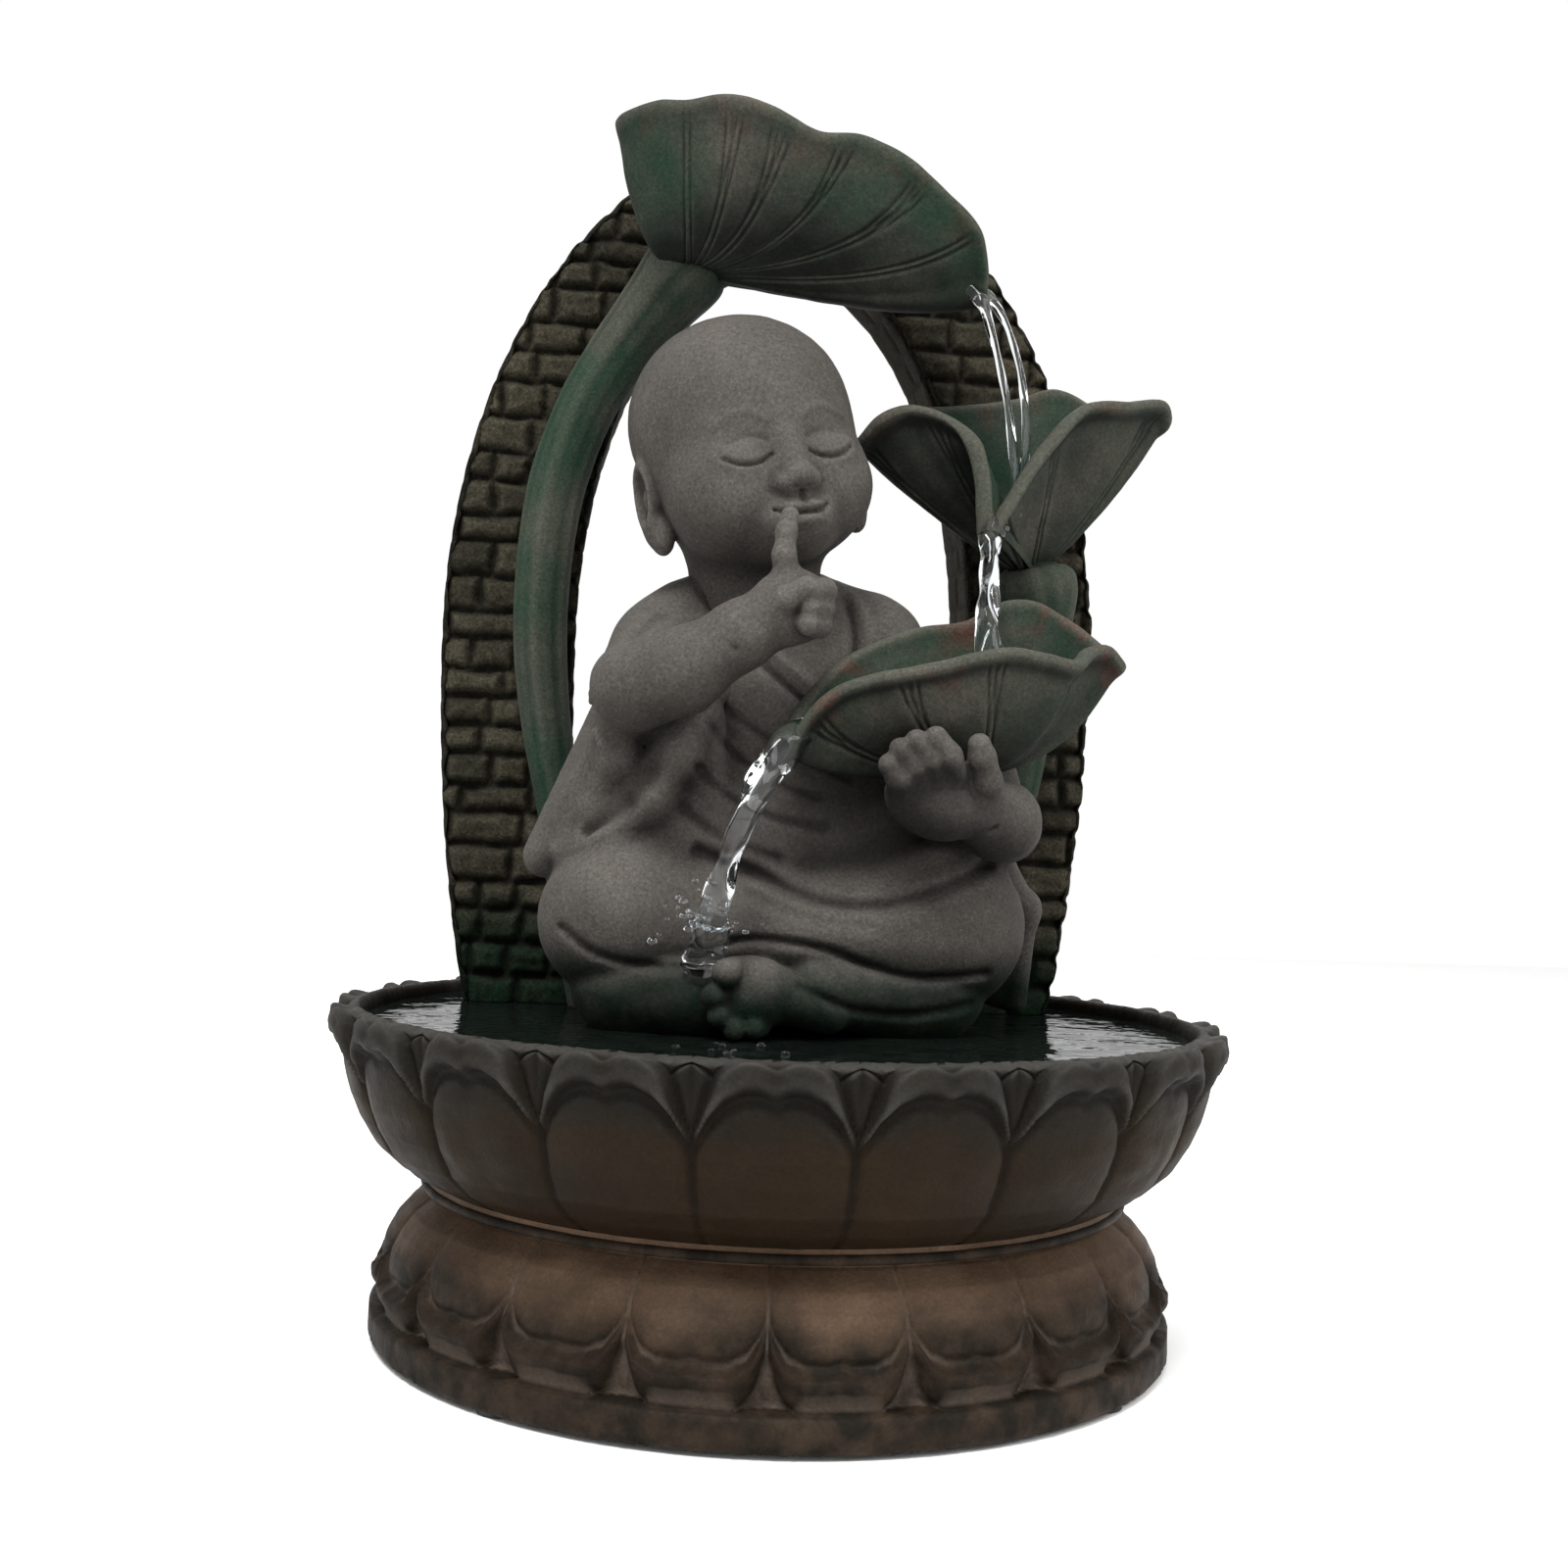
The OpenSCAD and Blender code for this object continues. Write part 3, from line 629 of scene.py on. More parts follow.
def petal_relief(a, low, outline, inner, half):
    """How far a petal's curled lip stands out, and how deep the gap beside it is.

    low is the depth below the tip of the petal, outline and inner give the depths of the lip's two
    edges across the petal as (place, depth) pairs, and half is half a petal's width. All in mm.
    """
    edge_place, edge_depth = zip(*outline)
    side = (np.interp(low, edge_depth, edge_place) - a) * half
    inside = np.interp(a, *zip(*inner)) - low
    lip = ramp(side, -0.3, 2.4) ** 0.8 * ramp(inside, -0.8, 1.6)
    gap = ramp(-side, -0.6, 1.0)
    shadow = bump(inside + 1.6, 2.0) * ramp(side, 0.0, 2.0)
    ridge = bump(inside - 2.8, 2.4) * ramp(side, 0.5, 3.0)
    reach = np.maximum((1 - np.interp(low, edge_depth, edge_place)) * half, 0.2)
    bud = gap * np.clip(1 - ((1 - a) * half / reach) ** 2, 0, 1)
    return lip, gap, shadow, ridge, bud


def level_rings(pairs, t):
    """Rows of radius and of height that are the same all the way round."""
    r, z = np.array(pairs, float).T[..., None] + 0 * t
    return r, z


# Edges of the petals' lips as (place across the petal, depth below its tip)
BASIN_EDGE = ((0.30, 0), (0.50, 0.7), (0.62, 2.0), (0.71, 4.0), (0.79, 7.5), (0.85, 11.5), (0.90, 15),
              (0.97, 18.5), (1.0, 20))
BASIN_LIP = ((0, 7.2), (0.36, 8.2), (0.58, 10.6), (0.78, 15.2), (0.88, 19), (1, 23))
FOOT_EDGE = ((0.66, 0), (0.76, 1.6), (0.82, 3.5), (0.89, 7.5), (0.95, 11.5), (1.0, 14.5))
FOOT_LIP = ((0, 9.2), (0.5, 9.6), (0.75, 12), (0.9, 16), (1, 20))


def basin_profile(t):
    """Columns of radius and height from the bead up the wall, over the rim and down inside."""
    a = np.abs(t)
    notch = 1.9 * bump(a, 0.13)
    tip = RIM_Z - 0.4 - notch - np.interp(a, *zip(*BASIN_EDGE)) * 0.9 * (a < 1.1)
    bud_top = RIM_Z - 2.4 - 30 * np.clip(1 - a, 0, 1) ** 1.6
    top = np.maximum(tip, bud_top)
    z = BEAD_Z + 4 + np.linspace(0, 1, 130)[:, None] * (top - BEAD_Z - 4)
    full = np.interp(z, [50, 55, 61, 69, 76, 84, 90, 97, 102],
                     [110.5, 119.5, 126.3, 131.2, 134.0, 136.0, 137.0, 137.6, 137.9])
    swell = np.clip((z - 50) / 45, 0, 1)
    lip, gap, shadow, ridge, bud = petal_relief(a + 0 * z, RIM_Z - z - notch, BASIN_EDGE, BASIN_LIP, 21.8)
    low_part = 1 - ramp(z, RIM_Z - 22, RIM_Z - 14)
    wall = full - 3.2 * swell ** 0.7 * a ** 4 - 1.2 * bump(1 - a, 0.05) * low_part + swell * (1 - a ** 2)
    wall = wall + 2.7 * lip + 0.9 * ridge - 0.9 * shadow - 0.7 * gap + 2.5 * bud
    edge = wall[-1]
    inner_r, inner_z = level_rings((
        (135.6, RIM_Z - 0.9), (134.6, RIM_Z - 0.1), (133.6, RIM_Z + 0.1), (132.6, RIM_Z - 0.4),
        (131.8, RIM_Z - 2), (131.2, RIM_Z - 8), (127, 74), (118, 60), (107, 51), (60, 51), (2, 51)), t)
    r = np.vstack([wall, edge - 0.5, edge - 1.6, 0.5 * (edge + 136), inner_r])
    z = np.vstack([z, top + 0.6, top + 0.8, 0.5 * (top + RIM_Z) - 0.2, inner_z])
    return resample(r, z, int(230 / FINE), 0.62)


def pedestal_profile(t):
    """Columns of radius and height from the bead down the petals, round the plinth and up inside."""
    a = np.abs(t)
    plinth = node_box("pedestal")[1][0]
    ledge = 11.6
    z = BEAD_Z - 1 - np.linspace(0, 1, 110)[:, None] * (BEAD_Z - 1 - ledge + 0 * t)
    full = np.interp(z, [10, 14, 20, 25, 30, 35, 40, 45],
                     [119.5, 121.0, 122.4, 122.4, 121.4, 119, 114.8, 108.0])
    depth = z - ledge - 0.9 * bump(a, 0.12)
    lip, gap, shadow, ridge, bud = petal_relief(a + 0 * z, depth, FOOT_EDGE, FOOT_LIP, 19.5)
    swell = np.clip((BEAD_Z - z) / 25, 0, 1)
    high_part = ramp(z, ledge + 12, ledge + 19)
    wall = full - 2.6 * swell ** 0.6 * a ** 4 - bump(1 - a, 0.05) * high_part + 0.8 * swell * (1 - a ** 2)
    wall = wall + 2.0 * lip + 1.3 * ridge - 1.2 * shadow - 1.6 * gap + 0.9 * bud * ramp(ledge + 13 - z, 0, 9)
    above_r, above_z = level_rings(((110.5, BEAD_Z + 4), (110.9, BEAD_Z + 2), (110.5, BEAD_Z + 0.2)), t)
    below_r, below_z = level_rings((
        (plinth - 3.2, 11.1), (plinth - 0.6, 10.9), (plinth, 10.2), (plinth, FOOT_Z + 1),
        (plinth - 0.8, FOOT_Z), (plinth - 18, FOOT_Z), (112, 12), (112, 32), (102, 42), (70, 42)), t)
    r = np.vstack([above_r, wall, below_r])
    z = np.vstack([above_z, z, below_z])
    return resample(r, z, int(190 / FINE), 0.66)


def build_basin():
    """The basin: brown below, charcoal towards the rim, and darkened inside."""
    points, faces = turned_surface(basin_profile, 0, PETALS * int(56 / FINE))
    z = points[:, 2]
    normal = vertex_normals(points, faces)
    points = points + normal * (0.25 * noise(points, 9))[:, None]
    charcoal = ramp(z + 5 * noise(points, 22), 74, 92)
    radius = np.hypot(points[:, 0], points[:, 1])
    inward = np.sum(normal[:, :2] * points[:, :2], 1) < -0.1 * radius
    inside = (radius < 133.4) & (inward | (radius < 105))
    charcoal = np.where(inside, 1.0, charcoal)
    # Broad dips darker and broad swells lighter: painted shade and highlight over dirt and wear
    hollow = 0.6 * hollowness(points, faces, 14, 1.5) + 0.4 * hollowness(points, faces, 70, 2.4)
    # The inside is darkened all over
    hollow = np.where(inside, 0.85, hollow)
    new_piece("basin_petals", points, faces, RESIN["basin"], "basin", ["lotus_basin"],
              (charcoal, hollow, 0 * z))


def build_pedestal():
    """The pedestal: warm brown above, charcoal towards the plinth. Its petals lie between the basin's."""
    points, faces = turned_surface(pedestal_profile, 0.5, PETALS * int(52 / FINE))
    z = points[:, 2]
    normal = vertex_normals(points, faces)
    points = points + normal * (0.25 * noise(points, 9, shift=3.0))[:, None]
    charcoal = 1 - ramp(z + 8 * noise(points, 24), 27, 43)
    # Painted shade and highlight over dirt and wear, mostly from the fine hollows
    hollow = 0.75 * hollowness(points, faces, 14, 1.5) + 0.25 * hollowness(points, faces, 70, 2.4)
    hollow = np.where(z < 11.4, 0.55, hollow)
    new_piece("pedestal_petals", points, faces, RESIN["pedestal"], "basin", ["pedestal"],
              (charcoal, hollow, 0 * z))


def build_bead():
    """The rolled ring between the pedestal and the basin."""
    angle = np.linspace(0, 2 * math.pi, 361)[:-1]
    turn = np.linspace(0, 2 * math.pi, 13)[:-1]
    r = 110.3 + 1.7 * np.cos(turn)[None]
    z = BEAD_Z + 1.2 + 1.6 * np.sin(turn)[None]
    points = np.stack(np.broadcast_arrays(
        r * np.sin(angle)[:, None], -r * np.cos(angle)[:, None], z + 0 * angle[:, None]), -1)
    rows, columns = points.shape[:2]
    points = np.concatenate([points, points[:1]]).reshape(-1, 3)
    new_piece("bead_ring", points, grid_faces(rows + 1, columns, True)[:, ::-1], RESIN["pedestal"], "basin",
              masks=(0 * points[:, 0] + 1.0, 0 * points[:, 0] + 0.5, 0 * points[:, 0]))


# ---- Brick arch ----

ARCH_OUTER_RISE = 179
ARCH_OUTER_DROP = 285
ARCH_INNER_HALF = 70
ARCH_INNER_RISE = 140
ARCH_INNER_DROP = 298


def course_levels():
    """Heights of the joints between courses of bricks."""
    steps = RANDOM.uniform(8.5, 12.8, 50)
    levels = DECK_TOP - 2 + np.cumsum(steps)
    return levels[levels < ARCH_HIGH[2] + 10]


COURSES = course_levels()
JOINTS = np.array([np.cumsum(RANDOM.uniform(12, 26, 22)) - 150 for _ in range(len(COURSES) + 1)])
SIDE_JOINTS = RANDOM.uniform(ARCH_FRONT + 8, ARCH_BACK - 8, len(COURSES) + 1)
TILTS = RANDOM.uniform(-1, 1, (len(COURSES) + 1, 24, 2))


def brick_relief(points, on_side):
    """(height of the surface, how much of it is joint, a tone for each brick) at each point."""
    wobble = noise(points, 11, 2) * 1.1
    x, y, z = points[:, 0] + wobble, points[:, 1], points[:, 2] + noise(points, 13, 2, 5.0) * 1.1
    course = np.searchsorted(COURSES, z)
    gap = np.min(np.abs(z[:, None] - COURSES[None]), axis=1)
    joints = JOINTS[course]
    across = np.where(on_side, np.abs(y + wobble - SIDE_JOINTS[course]),
                      np.min(np.abs(x[:, None] - joints), axis=1))
    brick = np.where(on_side, (y > SIDE_JOINTS[course]).astype(int), np.sum(x[:, None] > joints, axis=1))
    gap = np.minimum(gap, across) * (1 + 0.35 * noise(points, 6, 2, 3.0))
    joint = bump(gap, 1.35)
    tilt = TILTS[course, brick]
    local = np.where(on_side, (y - ARCH_FRONT) / 30 - 0.5, np.sin(x * 0.35))
    chips = noise(points * [1, 1, 1.7], 8, 3, 9.0)
    height = -2.0 * joint + 1.1 * chips + 0.6 * tilt[:, 0] * local + 0.45 * noise(points, 3.0, 2)
    height = height - 0.8 * ramp(-gap, -3.4, -0.8)
    return height, joint, 0.5 + 0.5 * tilt[:, 1]


def arch_line(a, rise, drop, count):
    """Points down the right limb, over the top and down the left limb, as (x, z)."""
    middle = ARCH_HIGH[2] - ARCH_OUTER_RISE
    end = math.asin((middle - DECK_TOP) / drop)
    t = np.linspace(-end, math.pi + end, count)
    low = (t < 0) | (t > math.pi)
    return a * np.cos(t), middle + np.where(low, drop, rise) * np.sin(t)


def build_arch():
    """A closed ring round the arch. Its columns go across the outside, the front, the inside and the back."""
    rows, front, side, back = int(960 / FINE), int(62 / FINE), int(38 / FINE), 8
    outer = np.stack(arch_line(ARCH_HIGH[0], ARCH_OUTER_RISE, ARCH_OUTER_DROP, rows), -1)
    inner = np.stack(arch_line(ARCH_INNER_HALF, ARCH_INNER_RISE, ARCH_INNER_DROP, rows), -1)
    share = np.concatenate([np.ones(side), np.linspace(1, 0, front), np.zeros(side),
                            np.linspace(0, 1, back + 2)[1:-1]])
    depth = np.concatenate([np.linspace(ARCH_BACK, ARCH_FRONT, side), np.full(front, ARCH_FRONT),
                            np.linspace(ARCH_FRONT, ARCH_BACK, side), np.full(back, ARCH_BACK)])
    on_front = np.concatenate([np.zeros(side), np.ones(front), np.zeros(side + back)]) > 0
    on_back = np.arange(len(share)) >= 2 * side + front
    columns = len(share)
    flat = inner[:, None] + (outer - inner)[:, None] * share[None, :, None]
    points = np.stack([flat[..., 0], depth + 0 * flat[..., 0], flat[..., 1]], -1).reshape(-1, 3)
    faces = grid_faces(rows, columns, True)
    caps = fans(columns, rows * columns)
    normal = vertex_normals(points, faces)
    if normal[rows // 2 * columns + side + front // 2, 1] > 0:
        faces, caps, normal = faces[:, ::-1], caps[:, ::-1], -normal
    on_side = np.tile(~on_front & ~on_back, rows)
    height, joint, tone = brick_relief(points, on_side)
    plain = np.tile(on_back, rows)
    corner = np.tile(np.where(on_front, np.minimum(share, 1 - share) * 45, depth - ARCH_FRONT), rows)
    worn_corner = 1.7 * bump(corner, 2.6) * (1 + noise(points, 8))
    height = np.where(on_side, 0.3 + 0.18 * height, 1.0 + height) - worn_corner
    points = points + normal * np.where(plain, 0.1 * noise(points, 5), height)[:, None]
    z = points[:, 2]
    green = 0.95 * (1 - ramp(z + 14 * noise(points, 26), 112, 142)) + 0.12 * ramp(noise(points, 30), 0.1, 0.5)
    # Hollows and undersides darker as dirt and painted shade; joints dark and each brick its own tone
    hollow = hollowness(points, faces, 10, 1.6) + 0.12 * joint + 0.30 * (tone - 0.5) * (1 - joint)
    hollow = np.where(plain, 0.5, np.clip(hollow, 0, 1))
    ends = np.concatenate([points[:columns].mean(0)[None], points[-columns:].mean(0)[None]])
    masks = [np.concatenate([np.clip(m, 0, 1), [0.5, 0.5]]) for m in (green, hollow, 0 * z)]
    new_piece("arch_bricks", np.concatenate([points, ends]), [faces, caps],
              RESIN["brick"], "sculpture", ["brick_arch"], masks)


# ---- Leaves and stems ----

def leaf_surface(rim, heart, rounding, hang, veins, lip, across=360, along=90, thick=3.4, vein_depth=0.75):
    """A cup-shaped leaf from its heart to its rim, rounded and hanging, with grooved veins and a rolled lip.

    Veins are (place round the rim, lean, fork). Returns the points and faces, and for each point how far
    it is from the heart to the rim, and whether it is on the outside, 0, or on the inside, 1.
    """
    across, along = int(across / FINE), int(along / FINE)
    rim = spline(rim, across, closed=True)
    heart = np.array(heart, float)
    s = np.concatenate([[0.02], np.linspace(0.05, 1, along - 1)])[:, None, None]
    d = rim[None] - heart
    level = (1 - rounding) * s + rounding * np.sin(s * math.pi / 2)
    lift = (1 - rounding) * s + rounding * (1 - np.cos(s * math.pi / 2))
    under = heart + np.concatenate([d[..., :2] * level, d[..., 2:] * lift], -1)
    under = under + np.array(hang) * np.sin(math.pi * s)
    u = np.linspace(0, 1, across, endpoint=False)
    girth = np.linalg.norm(np.roll(under, -1, 1) - np.roll(under, 1, 1), axis=-1) * across / 2
    relief = np.zeros(under.shape[:2])
    sv = s[..., 0]
    for place, lean, fork in veins:
        for side in (-1, 1):
            path = place + lean * (1 - sv) ** 2 + side * fork * np.clip(sv - 0.55, 0, 1) ** 1.2
            gap = np.abs((u[None] - path + 0.5) % 1 - 0.5) * girth
            fade = ramp(sv, 0.06, 0.2) * (1 - ramp(sv, 0.88, 0.98))
            groove = bump(np.abs(gap - 1.0), 0.55) - 0.35 * bump(gap, 0.7)
            relief = np.maximum(relief, groove * fade)
    normal = vertex_normals(under.reshape(-1, 3), grid_faces(len(s), across, True)).reshape(under.shape)
    under = under - normal * (vein_depth * relief)[..., None]
    roll = lip * bump(sv - 1.0, 0.055)
    under = under + normal * roll[..., None]
    taper = thick * (1 - 0.25 * ramp(sv, 0.8, 1.0)) + 1.3 * roll
    over = under - normal * (taper - 0.5 * relief)[..., None]
    outward = unit(under[-1] - under[-3]) * (1.2 + 0.4 * lip)
    arc = [(under[-1] + over[-1]) / 2 + (under[-1] - over[-1]) / 2 * math.cos(a) + outward * math.sin(a)
           for a in (0.4, 0.8, 1.2, 1.57, 1.95, 2.35, 2.75)]
    rings = np.concatenate([under, np.array(arc), over[::-1]])
    points = np.concatenate([rings.reshape(-1, 3), rings[0].mean(0)[None], rings[-1].mean(0)[None]])
    reach = np.concatenate([np.repeat(sv[:, 0], across), np.ones(len(arc) * across),
                            np.repeat(sv[::-1, 0], across), [0, 0]])
    inner = np.concatenate([np.zeros(under.shape[0] * across), np.full(len(arc) * across, 0.5),
                            np.ones(over.shape[0] * across), [0, 1]])
    faces = [grid_faces(rings.shape[0], across, True), fans(across, rings.shape[0] * across)]
    return points, faces, reach, inner


def build_leaf(name, node, green, stain, **shape):
    """One leaf, with green patina in clouds and inside, and rust stain near its rim."""
    points, faces, reach, inner = leaf_surface(**shape)
    points = points + vertex_normals(points, faces[0]) * (0.35 * noise(points, 12))[:, None]
    # Painted shade: the outside of the leaf darkens where it faces down; the rim lightens as wear and painted
    # highlight
    down = ramp(-vertex_normals(points, faces[0])[:, 2], 0.2, 1.0) * (1 - inner)
    hollow = hollowness(points, faces[0], 10, 0.9) + 0.32 * down - 0.12 * ramp(reach, 0.93, 1.0)
    cloud = noise(points, 24, 3, 2.0)
    patina = np.clip(green * (0.45 + 1.3 * cloud) + 0.45 * inner, 0, 1)
    rust = np.clip(stain * ramp(reach, 0.75, 1.0) * ramp(noise(points, 9, 3, 7.0), 0.0, 0.45), 0, 1)
    new_piece(name, points, faces, RESIN["leaf"], "sculpture", [node],
              (patina, np.clip(hollow, 0, 1), rust))


# The rims' points go once round, and the stems' points are (x, y, z, radius), all in millimetres
TOP_LEAF = dict(
    heart=(-38, 18, 346), rounding=0.55, hang=(0, -4, -9), lip=0.8,
    rim=[(56, -14, 333), (59, 2, 339), (54, 18, 350), (38, 30, 363), (12, 40, 373), (-20, 42, 380),
         (-46, 34, 386), (-61, 16, 390), (-63, 0, 389), (-52, -14, 389), (-43, -20, 387.5), (-34, -24, 388.5),
         (-25, -27, 387.5), (-14, -29, 383.5), (-2, -30, 377.5), (12, -30, 377.5), (27, -30, 371.5),
         (41, -28, 361.5), (51, -26, 352.5), (55, -21, 342)],
    veins=[(0.500, 0.02, 0.0), (0.585, 0.0, 0.03), (0.655, -0.01, 0.03), (0.735, -0.02, 0.02),
           (0.82, -0.03, 0.02), (0.90, -0.02, 0.0), (0.10, 0.0, 0.03), (0.22, 0.0, 0.03), (0.36, 0.0, 0.03)])
MIDDLE_LEAF = dict(
    heart=(84, 18, 248), rounding=0.35, hang=(0, 0, 3), lip=2.2,
    rim=[(60, -16, 257), (67, -15, 267), (74, -13, 279), (82, -10, 290), (95, -5, 303.5), (112, 1, 307),
         (126, 9, 310.5), (129, 15, 305), (121, 26, 303), (110, 33, 312), (97, 38, 319), (82, 41, 315),
         (62, 41, 311.5), (45, 36, 308), (30, 24, 298), (20, 8, 289), (20, -2, 288), (25, -9, 294),
         (34, -11.5, 297.5), (46, -12.5, 295), (54, -13.5, 288), (57.5, -15, 276), (58.5, -16, 264)],
    veins=[(k / 9 + 0.03, 0.0, 0.02) for k in range(9)])
LOWER_LEAF = dict(
    heart=(52, -40, 178), rounding=0.5, hang=(0, 0, -3), lip=2.0,
    rim=[(-8, -54, 181), (-3, -61, 192), (5, -65, 200), (15, -66, 204), (26, -67, 206.5), (36, -67, 209),
         (46, -66, 212), (56, -65, 214), (67, -63, 213), (78, -58, 212), (85, -50, 217), (92, -44, 218.5),
         (98, -38, 214.5), (92, -28, 223), (84, -21, 230), (75, -17, 235), (65, -15, 234), (53, -16, 227),
         (38, -18, 224), (21, -24, 217), (8, -31, 208), (-3, -42, 195)],
    veins=[(k / 8 + 0.05, 0.02, 0.02) for k in range(8)])
STEM = [(-60, 34, 94, 6.5), (-68, 34, 130, 6.5), (-73, 35, 163, 7.2), (-79, 35, 195, 8.2),
        (-82, 35, 226, 9.0), (-81, 35, 255, 9.4), (-77, 35, 280, 9.8), (-69, 34, 303, 10),
        (-58, 32, 322, 10.8), (-46, 26, 338, 12.5), (-38, 20, 348, 14), (-35.5, 18, 352, 10),
        (-34.5, 17, 354.5, 4)]
STALK = [(87, 40, 176, 8), (88, 34, 196, 9), (89, 30, 216, 10), (89, 26, 234, 12), (86, 20, 249, 15),
         (85, 19, 254, 9), (84.5, 18.5, 256, 3)]


def build_stem(name, node, way):
    """A ribbed stem that lies against the arch and stands on the deck."""
    line = spline(way, 160)
    points, faces = sweep(line[:, :3], line[:, 3], 40,
                          lambda angle, s: 1 + 0.035 * np.sin(5 * angle + 3 * s) + 0.02 * np.sin(11 * angle))
    points = points + vertex_normals(points, faces[0]) * (0.4 * noise(points * [1, 1, 0.35], 9))[:, None]
    points[:, 1] = np.minimum(points[:, 1], ARCH_FRONT)
    points[:, 2] = np.maximum(points[:, 2], DECK_TOP)
    patina = np.clip(0.55 + 0.9 * noise(points, 26, 3, 4.0) + 0.3 * ramp(-points[:, 0], 60, 90), 0, 1)
    # The hollows mask darkens creases and undersides: dirt and painted shade
    new_piece(name, points, faces, RESIN["leaf"], "sculpture", [node],
              (patina, hollowness(points, faces[0], 8, 1.0), 0 * patina))


# ---- Seated child ----

def turned(x=0, y=0, z=0):
    """A rotation about X, then Y, then Z, in degrees, as the columns of a matrix."""
    matrix = np.eye(3)
    for axis, angle in (("X", x), ("Y", y), ("Z", z)):
        matrix = np.array(Matrix.Rotation(math.radians(angle), 3, axis)) @ matrix
    return matrix


HEAD_PLACE = np.array((-18.0, -6.0, 283.0))
HEAD_TURN = turned(y=-12) @ turned(z=12)


